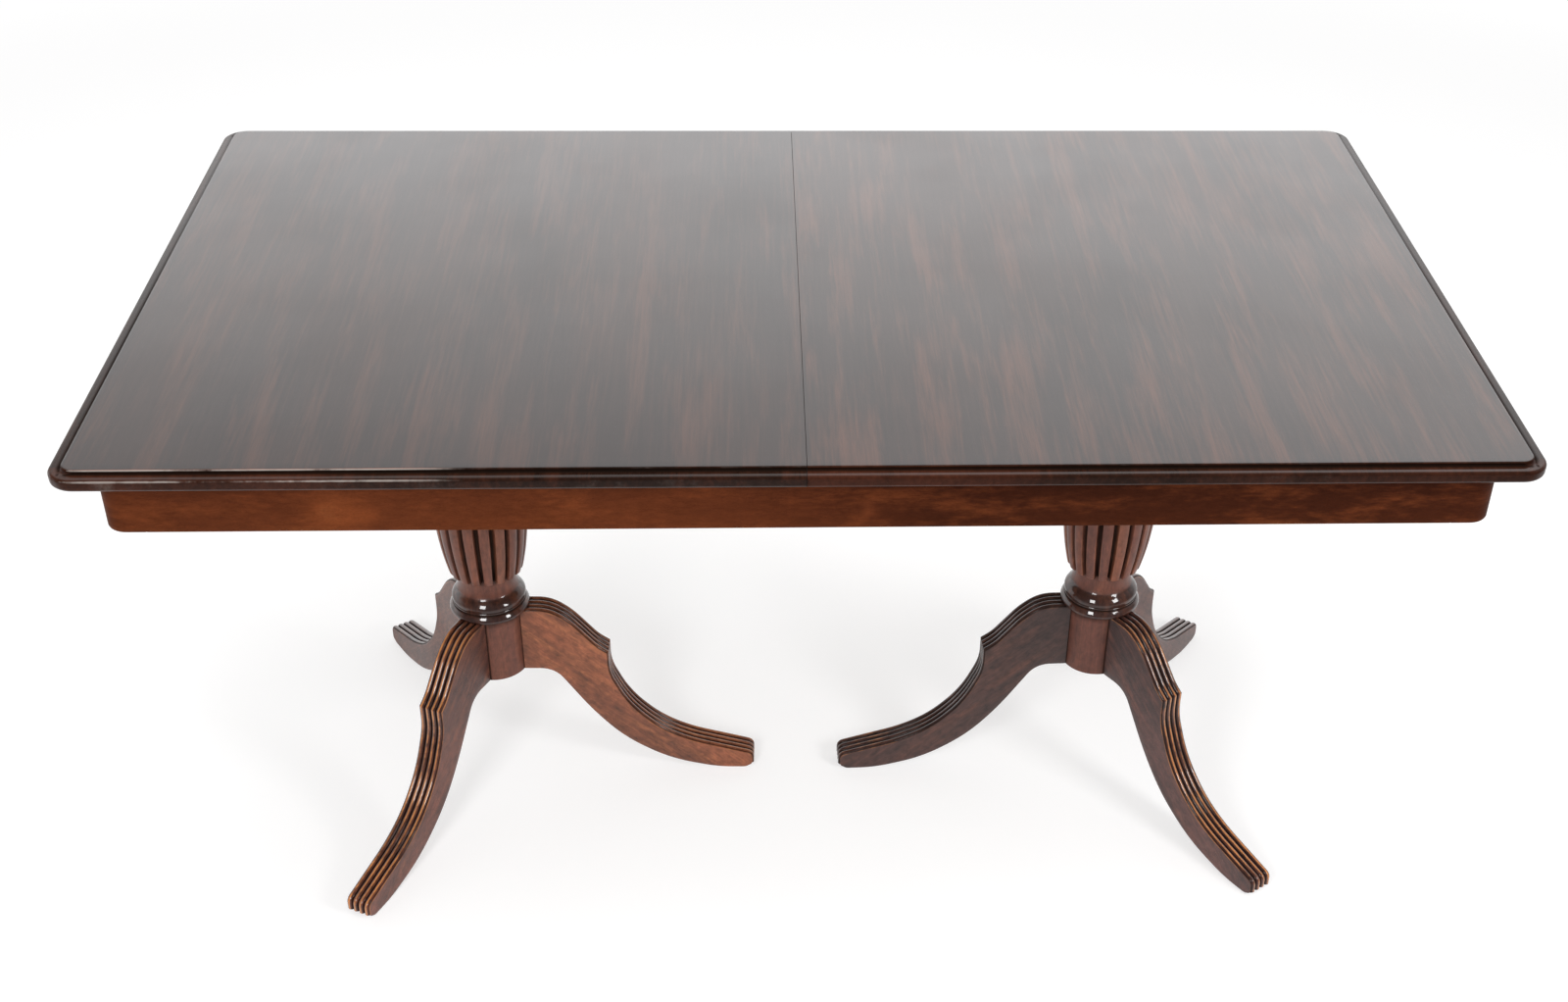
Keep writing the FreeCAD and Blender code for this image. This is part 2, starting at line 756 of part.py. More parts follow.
def stop_pins(side_name):
    """Two pins under each runner: one stops it fully out and one where the halves meet."""
    side = SIDES[side_name]
    rest = "middle_rail_x + rail_thickness / 2 + stop_pin_radius + sliding_gap"
    places = []
    for face in FACES:
        for reach in (signed(side, rest), signed(-side, f"{rest} + top_travel")):
            label = f"stop_pin_{side_name}_{len(places)}"
            places.append(cylinder(label, "stop_pin_radius", "stop_pin_drop + stop_pin_bite", reach,
                                   RUNNERS[side_name, face], "runner_bottom - stop_pin_drop"))
    return group(f"stop_pins_{side_name}", places)


def runner(side_name, face_name, fasteners):
    """A dovetail slide, eased where it runs under the other half."""
    side = SIDES[side_name]
    label = f"runner_{side_name}_{face_name}"
    centre = RUNNERS[side_name, face_name]
    start = "-runner_outer_reach" if side < 0 else "-runner_inner_reach"
    blank = prism(label + "_blank", "YZ_Plane", runner_section(centre, "0"), start,
                  "runner_outer_reach + runner_inner_reach")
    ease = box(label + "_ease", span(-side, "-seam_x", "runner_inner_reach + overrun"),
               (f"{centre} - runner_foot_width", f"{centre} + runner_foot_width"),
               ("top_underside - relief", "top_underside + overrun"))
    return cut(label, blank, [ease, *fasteners])


def dowels(label, radius, reach):
    """Three pegs across the seam, lying along X."""
    places = []
    for index in (-1, 0, 1):
        peg = cylinder(f"{label}_{index + 1}", radius, f"2 * ({reach})", f"-({reach})",
                       f"{index} * dowel_pitch", "(top_underside + ledge_z) / 2")
        peg.Placement.Rotation = Rotation(Vector(0, 1, 0), 90)
        places.append(peg)
    return group(label, places)


def catch_pins(label, side):
    """Headed pins in the underside: pivots on the left half, keepers on the right one."""
    places = []
    for face_name, face in FACES.items():
        x = signed(side, "catch_pivot_x")
        y = signed(face, "catch_y")
        shank = cylinder(f"{label}_shank_{face_name}", "catch_pin_radius",
                         "top_underside + catch_pin_bite - catch_pin_low", x, y, "catch_pin_low")
        head = cylinder(f"{label}_head_{face_name}", "catch_pin_head_radius", "catch_pin_head_height",
                        x, y, "catch_pin_low")
        places.append(fuse(f"{label}_{face_name}", [shank, head]))
    return group(label, places)


def top_panel(side_name, tools):
    """Half of the top: a raised panel, a cove, a ledge and a round bead on three sides."""
    side = SIDES[side_name]
    label = f"top_panel_{side_name}"
    slab = rectangle(*span(side, "seam_x", "half_length"), "-half_width", "half_width")
    panel = rectangle(*span(side, "seam_x", "half_length - panel_inset"),
                      "-half_width + panel_inset", "half_width - panel_inset")
    body = add("PartDesign::Body", label + "_blank")
    pad(body, label + "_slab", outline(body, label + "_slab_outline", "XY_Plane", slab, "top_underside"),
        "ledge_z - top_underside")

    def corner_at(x, y):
        def test(edge):
            spot = edge.CenterOfMass
            upright = near(edge.BoundBox.XLength + edge.BoundBox.YLength, 0)
            return upright and near(abs(spot.x), number(x)) and near(abs(spot.y), number(y))
        return test
    soften(body, label + "_slab_corners", "top_corner_radius", corner_at("half_length", "half_width"))

    def outline_at(height, inset):
        def test(edge):
            spot = edge.BoundBox
            flat = near(spot.ZMin, number(height)) and near(spot.ZMax, number(height))
            seam = near(spot.XLength, 0) and near(abs(spot.Center.x), number("seam_x"))
            inside = abs(spot.Center.y) < number(f"half_width - {inset} - overrun")
            straight = number(f"half_length - {inset} - top_corner_radius")
            inside = inside and abs(edge.CenterOfMass.x) < straight
            return flat and not seam and not inside
        return test
    soften(body, label + "_bead_lower", "bead_radius", outline_at("top_underside", "0"))
    soften(body, label + "_bead_upper", "bead_radius", outline_at("ledge_z", "0"))
    doc.recompute()
    pad(body, label + "_panel", outline(body, label + "_panel_outline", "XY_Plane", panel, "ledge_z"),
        "panel_rise")
    soften(body, label + "_panel_corners", "top_corner_radius - panel_inset",
           corner_at("half_length - panel_inset", "half_width - panel_inset"))
    soften(body, label + "_panel_lip", "panel_lip_radius", outline_at("table_height", "panel_inset"))

    def cove_edge(edge):
        spot = edge.BoundBox
        flat = near(spot.ZMin, number("ledge_z")) and near(spot.ZMax, number("ledge_z"))
        seam = near(spot.XLength, 0) and near(abs(spot.Center.x), number("seam_x"))
        reach = max(abs(spot.XMin), abs(spot.XMax)) < number("half_length - panel_inset + sliding_gap")
        width = max(abs(spot.YMin), abs(spot.YMax)) < number("half_width - panel_inset + sliding_gap")
        return flat and not seam and reach and width
    soften(body, label + "_cove", "panel_cove_radius", cove_edge)
    return cut(label, body, tools)


# Catches: brass hooks that swing over the seam

def catch(face_name):
    """A hook at rest with its arm pointing to the middle of the table."""
    face = FACES[face_name]
    label = f"catch_{face_name}"
    top_to_bottom = ("0", "catch_thickness")
    eye = cylinder(label + "_eye", "catch_eye_radius", "catch_thickness")
    arm = box(label + "_arm", ("0", "catch_radius"), ("-catch_arm_width / 2", "catch_arm_width / 2"),
              top_to_bottom)
    head_ends = ("catch_radius - catch_head_length / 2", "catch_radius + catch_head_length / 2")
    head = box(label + "_head", head_ends, ("-catch_head_width / 2", "catch_head_width / 2"), top_to_bottom)
    bore = cylinder(label + "_bore", "catch_pin_radius + sliding_gap", "catch_thickness + 2 * overrun",
                    z="-overrun")
    seat = cylinder(label + "_seat", "catch_pin_radius + sliding_gap", "catch_thickness + 2 * overrun",
                    "catch_radius", z="-overrun")
    outer = cylinder(label + "_slot_outer", "catch_radius + catch_pin_radius + sliding_gap",
                     "catch_thickness + 2 * overrun", z="-overrun")
    inner = cylinder(label + "_slot_inner", "catch_radius - catch_pin_radius - sliding_gap",
                     "catch_thickness + 4 * overrun", z="-2 * overrun")
    mouth = box(label + "_mouth", ("0", "catch_radius + catch_head_length"),
                span(face, "0", "catch_head_width"), ("-overrun", "catch_thickness + overrun"))
    slot = common(label + "_slot", cut(label + "_slot_ring", outer, [inner]), mouth)
    made = cut(label, fuse(label + "_blank", [eye, arm, head]), [bore, seat, slot])
    made.Placement = Placement(Vector(), turn_about_axis(-90 * face))
    return bind(made, x="-catch_pivot_x", y=signed(face, "catch_y"), z="catch_bottom")


# Putting it together

NODES = {}


def keep(thing):
    NODES[thing.Label] = thing
    return thing


for apron in (long_apron("front"), long_apron("back"), end_apron("left"), end_apron("right")):
    keep(apron)
for side in SIDES:
    for face in FACES:
        keep(corner_block(side, face))

doc.recompute()
leg_solid = leg_shape()
all_screws = {}
for side in SIDES:
    under_board = keep(board_screws(side))
    keep(pedestal_board(side, under_board))
    all_screws[side] = under_board
for name, (crossing, _) in rails.items():
    side = name.split("_")[0]
    crossing.Label = f"cross_rail_{name}_unbored" if name.endswith("end") else crossing.Label
    if name.endswith("end"):
        crossing = cut(f"cross_rail_{name}", crossing, [all_screws[side]])
    keep(crossing)

for side in SIDES:
    screws = keep(plate_screws(side))
    keep(tripod_plate(side, screws))
    raised = cut(f"pedestal_column_{side}_bored", column(side), [screws])
    raised.Base.Label = f"pedestal_column_{side}_sockets"
    raised.Label = f"pedestal_column_{side}"
    keep(raised)
    doc.recompute()
    for name, bearing in LEGS[side].items():
        leg = add("Part::Feature", f"leg_{side}_{name}")
        leg.Shape = leg_solid
        leg.Placement = Placement(Vector(), turn_about_axis(bearing))
        bind(leg, x=signed(SIDES[side], "pedestal_x"))
        keep(leg)

for side in SIDES:
    screws = keep(runner_screws(side))
    pins = keep(stop_pins(side))
    for face in FACES:
        keep(runner(side, face, [screws, pins]))
    fixings = keep(catch_pins("catch_pivots" if side == "left" else "catch_keepers", SIDES[side]))
    if side == "left":
        pegs = keep(dowels("seam_dowels", "dowel_radius", "dowel_reach"))
    else:
        pegs = dowels("dowel_holes", "dowel_radius + sliding_gap", "dowel_reach + overrun")
    keep(top_panel(side, [screws, fixings, pegs]))
for face in FACES:
    keep(catch(face))

doc.recompute()

broken = [item.Label for item in doc.Objects if {"Invalid", "Error"} & set(item.State)]
for label, thing in NODES.items():
    if thing.Shape.isNull() or not thing.Shape.isValid():
        broken.append(label)
if broken:
    sys.exit("these objects failed: " + ", ".join(broken))

os.makedirs("parts", exist_ok=True)
for label, thing in NODES.items():
    thing.Shape.exportStep(f"parts/{label}.step")
    box_of = thing.Shape.optimalBoundingBox()
    print(f"{label:32s} solids {len(thing.Shape.Solids)} volume {thing.Shape.Volume / 1000:9.1f} cm3 "
          f"x {box_of.XMin:8.1f} {box_of.XMax:8.1f} y {box_of.YMin:8.1f} {box_of.YMax:8.1f} "
          f"z {box_of.ZMin:7.1f} {box_of.ZMax:7.1f}")
print(len(NODES), "nodes")
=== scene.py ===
# %% [markdown]
# # A twin-pedestal dining table in polished mahogany
# The table is a fixed frame of apron boards on two turned pedestals, and a top in two halves that
# slide apart on dovetail runners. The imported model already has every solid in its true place, so this
# lesson only dresses it: it builds finer skins for the pieces that show, and gives each piece a finish.
# All lengths here are metres, and the floor is at height nought.

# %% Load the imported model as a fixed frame
import math

import bpy
import numpy as np
from mathutils import Matrix, Vector
from mathutils.geometry import delaunay_2d_cdt


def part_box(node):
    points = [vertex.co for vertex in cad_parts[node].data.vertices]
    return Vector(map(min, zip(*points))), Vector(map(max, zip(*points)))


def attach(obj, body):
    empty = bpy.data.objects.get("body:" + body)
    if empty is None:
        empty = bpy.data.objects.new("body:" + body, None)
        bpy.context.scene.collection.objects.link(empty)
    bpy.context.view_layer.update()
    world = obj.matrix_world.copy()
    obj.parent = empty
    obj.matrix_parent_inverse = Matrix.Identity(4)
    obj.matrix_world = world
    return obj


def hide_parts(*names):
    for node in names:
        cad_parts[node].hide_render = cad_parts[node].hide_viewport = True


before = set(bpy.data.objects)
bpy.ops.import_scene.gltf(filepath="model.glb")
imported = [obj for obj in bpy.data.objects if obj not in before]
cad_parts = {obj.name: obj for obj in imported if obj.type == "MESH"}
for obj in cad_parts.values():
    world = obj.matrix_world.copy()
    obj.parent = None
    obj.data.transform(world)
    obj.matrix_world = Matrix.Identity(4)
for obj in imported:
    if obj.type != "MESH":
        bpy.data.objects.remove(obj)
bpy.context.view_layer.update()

# %% [markdown]
# ## The camera
# A camera is a place, three turns and a lens. These values were found by matching points of the
# table, such as its corners and feet, with the same points of the photograph.

# %% Set up the camera
CAMERA_PLACE = Vector((-0.05197, -2.20252, 1.84548))
CAMERA_YAW, CAMERA_PITCH, CAMERA_ROLL = 0.04343, 0.62968, -0.01683
FOCAL_PIXELS, IMAGE_WIDTH = 2035.943, 1600
SHIFT_PIXELS = (45.114, 122.203)


def camera_turn():
    """The camera's axes as a matrix: right, up and backward, worked out from yaw, pitch and roll."""
    forward = Vector((math.sin(CAMERA_YAW) * math.cos(CAMERA_PITCH),
                      math.cos(CAMERA_YAW) * math.cos(CAMERA_PITCH), -math.sin(CAMERA_PITCH)))
    level = Vector((math.cos(CAMERA_YAW), -math.sin(CAMERA_YAW), 0))
    down = forward.cross(level)
    right = math.cos(CAMERA_ROLL) * level + math.sin(CAMERA_ROLL) * down
    lower = -math.sin(CAMERA_ROLL) * level + math.cos(CAMERA_ROLL) * down
    return Matrix((right, -lower, -forward)).transposed()


lens = bpy.data.cameras.new("camera")
lens.sensor_width = 36
lens.lens = FOCAL_PIXELS * lens.sensor_width / IMAGE_WIDTH
lens.shift_x = -SHIFT_PIXELS[0] / IMAGE_WIDTH
lens.shift_y = SHIFT_PIXELS[1] / IMAGE_WIDTH
lens.clip_start, lens.clip_end = 0.05, 60
camera = bpy.data.objects.new("camera", lens)
bpy.context.scene.collection.objects.link(camera)
camera.matrix_world = Matrix.Translation(CAMERA_PLACE) @ camera_turn().to_4x4()
bpy.context.scene.camera = camera
bpy.context.scene.view_settings.view_transform = "Standard"
print("lens", round(lens.lens, 2), "mm")

# %% [markdown]
# ## Helpers that lay shader nodes
# Node graphs are easier to read when each node is one line. These helpers add a node, set its options
# and fill its inputs. A value that is itself a socket is joined by a link instead.

# %% Write the node helpers
def fill_in(tree, node, inputs):
    for name, value in inputs.items():
        if isinstance(value, bpy.types.NodeSocket):
            tree.links.new(value, node.inputs[name])
        else:
            node.inputs[name].default_value = value


def lay(tree, kind, inputs=None, **settings):
    made = tree.nodes.new("ShaderNode" + kind)
    for name, value in settings.items():
        setattr(made, name, value)
    fill_in(tree, made, inputs or {})
    return made


def sums(tree, operation, first, second=0.0, third=0.0, clamp=False):
    """One Math node; its result is the socket that comes back."""
    made = lay(tree, "Math", {0: first, 1: second, 2: third}, operation=operation, use_clamp=clamp)
    return made.outputs[0]


def times(tree, first, second, **settings):
    return sums(tree, "MULTIPLY", first, second, **settings)


def times_plus(tree, first, second, third, **settings):
    return sums(tree, "MULTIPLY_ADD", first, second, third, **settings)


def blend_colours(tree, factor, first, second):
    made = lay(tree, "Mix", {0: factor, 6: first, 7: second}, data_type="RGBA", blend_type="MIX")
    return made.outputs[2]


def spread_range(tree, value, low, high, new_low=0.0, new_high=1.0, kind="SMOOTHSTEP"):
    made = lay(tree, "MapRange", {"Value": value, "From Min": low, "From Max": high,
                                  "To Min": new_low, "To Max": new_high}, interpolation_type=kind)
    return made.outputs["Result"]


def looking_rays(tree):
    """Two switches: the ray comes from the camera, or it is mirrored or passed on by gloss."""
    path = lay(tree, "LightPath").outputs
    return path["Is Camera Ray"], sums(tree, "MAXIMUM", path["Is Glossy Ray"], path["Is Transmission Ray"])


print("node helpers ready")

# %% [markdown]
# ## The studio
# The floor is a pale sweep that runs up into a white background. What the camera and the gloss see is
# partly plain white, while the light that falls on the table stays at an everyday level. So the floor
# mixes a lit matt white, which holds the shadows, with a plain white that only looking rays find.

# %% Build the floor
FLOOR_WHITE_SHARE, FLOOR_WHITE = 0.45, 1.3
# Beyond these distances the sweep melts into the background, so that no horizon shows
HORIZON_FADE = (3, 6)
FLOOR_GLOSS_SHARE = 0.85
FLOOR_HALF = 14
# In front of the table the sweep ends, and what the gloss of the wood mirrors there is dim
FRONT_FADE = (-1.3, -0.38)
FRONT_GLOSS = 0.2

floor_mesh = bpy.data.meshes.new("floor")
floor_mesh.from_pydata([(-FLOOR_HALF, -FLOOR_HALF, 0), (FLOOR_HALF, -FLOOR_HALF, 0),
                        (FLOOR_HALF, FLOOR_HALF, 0), (-FLOOR_HALF, FLOOR_HALF, 0)], [], [(0, 1, 2, 3)])
floor = bpy.data.objects.new("floor", floor_mesh)
bpy.context.scene.collection.objects.link(floor)
floor_paint = bpy.data.materials.new("pale_sweep")
floor_paint.use_nodes = True
tree = floor_paint.node_tree
tree.nodes.clear()
matt = lay(tree, "BsdfDiffuse", {"Color": (0.88, 0.875, 0.875, 1)})
spot = lay(tree, "TexCoord").outputs["Object"]
away = lay(tree, "VectorMath", {0: spot}, operation="LENGTH").outputs["Value"]
place = lay(tree, "SeparateXYZ", {"Vector": spot})
near_table = spread_range(tree, place.outputs["Y"], *FRONT_FADE, FRONT_GLOSS, 1.0)
is_camera, is_mirrored = looking_rays(tree)
strength = sums(tree, "MAXIMUM", near_table, times(tree, is_camera, FLOOR_WHITE))
white = lay(tree, "Emission", {"Color": (1, 1, 1, 1), "Strength": strength})
share = times(tree, is_mirrored, FLOOR_GLOSS_SHARE)
seen_white = spread_range(tree, away, *HORIZON_FADE, FLOOR_WHITE_SHARE, 1.0)
share = times_plus(tree, is_camera, seen_white, share, clamp=True)
both = lay(tree, "MixShader", {0: share, 1: matt.outputs[0], 2: white.outputs[0]})
lay(tree, "OutputMaterial", {"Surface": both.outputs[0]})
floor_mesh.materials.append(floor_paint)
print("floor", 2 * FLOOR_HALF, "m square")

# %% [markdown]
# ## The light of the room
# The background is white to the camera. In the gloss of the wood it is white behind the table, a little
# brighter low down and to the right, and it is dim overhead and in front, where the room is not lit.
# That contrast is what makes polish look like polish. The light that the room throws on the table is a
# plain soft fill.

# %% Light the room
ROOM_FILL = 0.6
ROOM_GLOSS_MIDDLE, ROOM_GLOSS_PER_HEIGHT = 3.62, -5.4
SIDE_LOW, SIDE_PER_HEIGHT, SIDE_DIP = -2.35, 6.3, -1.1
ROOM_GLOSS_LEAST, ROOM_GLOSS_MOST = 0.2, 1.62
ROOM_FRONT_FADE, ROOM_FRONT_SHARE = (-0.4, 0.3), 0.1

room = bpy.data.worlds.new("room")
bpy.context.scene.world = room
room.use_nodes = True
tree = room.node_tree
tree.nodes.clear()
direction = lay(tree, "SeparateXYZ", {"Vector": lay(tree, "TexCoord").outputs["Generated"]})
to_right, to_back, up = (direction.outputs[axis] for axis in "XYZ")
gloss = times_plus(tree, up, ROOM_GLOSS_PER_HEIGHT, ROOM_GLOSS_MIDDLE)
per_side = times_plus(tree, up, SIDE_PER_HEIGHT, SIDE_LOW)
gloss = times_plus(tree, to_right, per_side, gloss)
gloss = times_plus(tree, times(tree, to_right, to_right), SIDE_DIP, gloss)
gloss = sums(tree, "MINIMUM", sums(tree, "MAXIMUM", gloss, ROOM_GLOSS_LEAST), ROOM_GLOSS_MOST)
gloss = times(tree, gloss, spread_range(tree, to_back, *ROOM_FRONT_FADE, ROOM_FRONT_SHARE, 1.0))
is_camera, is_mirrored = looking_rays(tree)
fill = lay(tree, "Background", {"Color": (1, 1, 1, 1), "Strength": ROOM_FILL})
mirrored = lay(tree, "Background", {"Color": (0.985, 0.99, 1, 1), "Strength": gloss})
plain = lay(tree, "Background", {"Color": (1, 1, 1, 1), "Strength": 1.0})
lit = lay(tree, "MixShader", {0: is_mirrored, 1: fill.outputs[0], 2: mirrored.outputs[0]})
shown = lay(tree, "MixShader", {0: is_camera, 1: lit.outputs[0], 2: plain.outputs[0]})
lay(tree, "OutputWorld", {"Surface": shown.outputs[0]})
print("room fill", ROOM_FILL)

# %% [markdown]
# ## The lamps
# Two soft boxes stand in front, left and right of the camera. They reach in under the top, and each
# puts a bright oval on the turned rings and a glint along the reeds. A wide fill hangs overhead, and the
# polish doesn't mirror it.

# %% Hang the lamps
# Place, target, width, height and power of each
LAMPS = {
    "box_left": ((-1.07, -2.4, 1.85), (-0.2, 0, 0.3), 0.76, 0.76, 38),
    "box_right": ((1.55, -1.25, 1.32), (0.2, 0, 0.3), 0.5, 0.5, 18),
    "overhead": ((0.1, 0.1, 3.4), (0, 0, 0.7), 2.8, 2.4, 66),
}


def hang(name, place, target, width, height, power):
    lamp = bpy.data.lights.new(name, "AREA")
    lamp.shape, lamp.size, lamp.size_y, lamp.energy = "RECTANGLE", width, height, power
    made = bpy.data.objects.new(name, lamp)
    bpy.context.scene.collection.objects.link(made)
    made.location = place
    made.rotation_euler = (Vector(target) - Vector(place)).to_track_quat("-Z", "Y").to_euler()
    made.visible_camera = False
    made.visible_glossy = name != "overhead"
    return made


lamps = {}
for name, (place, target, width, height, power) in LAMPS.items():
    lamps[name] = hang(name, place, target, width, height, power)
    print(name, "radiance", round(power / (math.pi * width * height), 1))

# %% [markdown]
# ## Mahogany figure
# Mahogany has long soft bands of darker and redder wood, finer fibres between them and short dark
# pores. Each is a noise stretched along the grain, so one group with a Vector whose first axis runs
# along the board serves every wooden piece. The group gives a colour and a height for the bump.

# %% Make the figure group
def new_group(name, inputs, outputs):
    group = bpy.data.node_groups.new(name, "ShaderNodeTree")
    for label, kind, value in inputs:
        socket = group.interface.new_socket(label, in_out="INPUT", socket_type="NodeSocket" + kind)
        if value is not None:
            socket.default_value = value
    for label, kind in outputs:
        group.interface.new_socket(label, in_out="OUTPUT", socket_type="NodeSocket" + kind)
    return group, group.nodes.new("NodeGroupInput").outputs, group.nodes.new("NodeGroupOutput").inputs


def stretched(tree, vector, along, across, detail=3.0, roughness=0.55, distortion=0.0, seed=0.0):
    """A noise whose spots are long in the direction of the grain; sizes are spots to the metre."""
    sized = lay(tree, "Mapping", {"Vector": vector, "Location": (seed, seed * 1.7, seed * 0.6),
                                  "Scale": (along, across, across)})
    made = lay(tree, "TexNoise", {"Vector": sized.outputs[0], "Scale": 1.0, "Detail": detail,
                                  "Roughness": roughness, "Distortion": distortion})
    return made.outputs["Fac"]


figure, take, give = new_group(
    "mahogany_figure",
    [("Vector", "Vector", None), ("Dark", "Color", (0.03, 0.015, 0.01, 1)),
     ("Body", "Color", (0.1, 0.04, 0.02, 1)), ("Red", "Color", (0.2, 0.07, 0.03, 1)),
     ("Streaks", "Float", 0.5), ("Clouds", "Float", 0.5), ("Fineness", "Float", 1.0),
     ("Mottle", "Float", 0.0)],
    [("Color", "Color"), ("Height", "Float"), ("Streak", "Float")])
sized = lay(figure, "VectorMath", {0: take["Vector"], 3: take["Fineness"]}, operation="SCALE").outputs[0]
wander = stretched(figure, sized, 1.6, 8, 2.0, 0.5, 0.3)
bands = stretched(figure, sized, 4.2, 38, 4.0, 0.62, 0.25, 3.1)
threads = stretched(figure, sized, 7, 190, 3.0, 0.6, 0.2, 5.7)
fibres = stretched(figure, sized, 28, 900, 2.0, 0.6, 0.0, 8.3)
pores = stretched(figure, sized, 60, 1500, 1.0, 0.5, 0.0, 11.9)
cloud = spread_range(figure, wander, 0.36, 0.66)
dark_share = times(figure, cloud, take["Clouds"], clamp=True)
body = blend_colours(figure, dark_share, take["Body"], take["Dark"])
streak = spread_range(figure, times_plus(figure, threads, 0.32, bands), 0.58, 0.92)
streak = times(figure, streak, take["Streaks"], clamp=True)
body = blend_colours(figure, streak, body, take["Red"])
fine = times_plus(figure, fibres, 0.6, times(figure, threads, 0.7))
shade = spread_range(figure, fine, 0.42, 0.92, 0.8, 1.2, "LINEAR")
blotches = stretched(figure, take["Vector"], 75, 130, 4.0, 0.65, 0.4, 14.3)
blotches = times_plus(figure, sums(figure, "SUBTRACT", blotches, 0.5), take["Mottle"], 1.0)
shade = times(figure, shade, blotches)
body = lay(figure, "VectorMath", {0: body, 3: shade}, operation="SCALE").outputs[0]
pore = spread_range(figure, pores, 0.6, 0.72)
body = blend_colours(figure, times(figure, pore, 0.3), body, take["Dark"])
figure.links.new(body, give["Color"])
height = times_plus(figure, fibres, 0.25, times(figure, pore, -1.0))
figure.links.new(height, give["Height"])
figure.links.new(streak, give["Streak"])
print("group", figure.name, len(figure.nodes), "nodes")

# %% [markdown]
# ## Wear, painted highlights, painted shade and polish marks
# Corners and the crests of the reeds lose their stain first and turn pale orange, and at the front left
# the top's lip is painted pale as a highlight. The hollows are painted dark, partly wax and dust and
# partly painted shade, and their gloss is dulled. Both start from masks that the meshes carry, one for
# rubbing and the painted highlight and one for the hollows, and a noise breaks them up so that no edge
# is evenly worn. The polish group gives hazy patches to the roughness, and a faint waviness.

# %% Make the group for wear, painted highlights and painted shade
wear_and_painted_light, take, give = new_group(
    "rubbed_edges_and_painted_light",
    [("Vector", "Vector", None), ("Color", "Color", None), ("Rubbed_and_glint", "Float", 0.0),
     ("Hollow", "Float", 0.0), ("Worn", "Color", (0.5, 0.25, 0.1, 1)),
     ("Grime_and_shade", "Color", (0.012, 0.007, 0.005, 1)), ("Patchiness", "Float", 0.5)],
    [("Color", "Color"), ("Mask", "Float")])
breakup = lay(wear_and_painted_light, "TexNoise", {"Vector": take["Vector"], "Scale": 42.0, "Detail": 5.0, "Roughness": 0.65})
broad = lay(wear_and_painted_light, "TexNoise", {"Vector": take["Vector"], "Scale": 9.0, "Detail": 2.0})
rough_edge = times_plus(wear_and_painted_light, breakup.outputs["Fac"], 0.6, times(wear_and_painted_light, broad.outputs["Fac"], 0.5))
ragged = sums(wear_and_painted_light, "SUBTRACT", rough_edge, 0.55)
mask = times_plus(wear_and_painted_light, ragged, times(wear_and_painted_light, take["Patchiness"], 4.0), take["Rubbed_and_glint"])
mask = times(wear_and_painted_light, spread_range(wear_and_painted_light, mask, 0.25, 1.0), take["Rubbed_and_glint"], clamp=True)
# Where the rubbed mask is high, the worn colour; on the top's front left lip this is a painted highlight
colour = blend_colours(wear_and_painted_light, mask, take["Color"], take["Worn"])
# Painted shade: the hollow mask blends towards a near-black colour, partly grime and partly the shade in
# hollows
colour = blend_colours(wear_and_painted_light, times(wear_and_painted_light, take["Hollow"], 0.92, clamp=True), colour, take["Grime_and_shade"])
wear_and_painted_light.links.new(colour, give["Color"])
wear_and_painted_light.links.new(mask, give["Mask"])
print("group", wear_and_painted_light.name, len(wear_and_painted_light.nodes), "nodes")

# %% Make the polish group
polish, take, give = new_group(
    "polish_marks",
    [("Vector", "Vector", None), ("Least", "Float", 0.15), ("Most", "Float", 0.35)],
    [("Roughness", "Float"), ("Height", "Float")])
haze = lay(polish, "TexNoise", {"Vector": take["Vector"], "Scale": 5.5, "Detail": 3.0, "Roughness": 0.5})
ripple = lay(polish, "TexNoise", {"Vector": take["Vector"], "Scale": 7.0, "Detail": 0.0})
level = spread_range(polish, haze.outputs["Fac"], 0.35, 0.7)
least_to_most = sums(polish, "SUBTRACT", take["Most"], take["Least"])
polish.links.new(times_plus(polish, level, least_to_most, take["Least"]), give["Roughness"])
polish.links.new(ripple.outputs["Fac"], give["Height"])
print("group", polish.name, len(polish.nodes), "nodes")


# %% [markdown]
# ## One recipe for polished wood
# Every polished piece uses the same order: figure, then wear with painted light and shade, then polish,
# and last the bump. The pieces differ in their colours and in how far each effect goes. The mesh code
# writes a few attributes on each point: the grain vector, the rubbed and hollow masks, a tone that makes
# the wood redder above nought and darker below it, and a shine where the varnish is thick and clear. In
# places the tone paints shade and dark reflections, the rubbed mask a highlight, the hollow mask shade.

# %% Write the polished wood recipe
def place_group(tree, group, inputs):
    made = tree.nodes.new("ShaderNodeGroup")
    made.node_tree = group
    fill_in(tree, made, inputs)
    return made.outputs


MASKS = ("rubbed_and_glint", "hollow", "tone", "shine")


def fresh_material(name):
    material = bpy.data.materials.new(name)
    material.use_nodes = True
    material.node_tree.nodes.clear()
    return material, material.node_tree


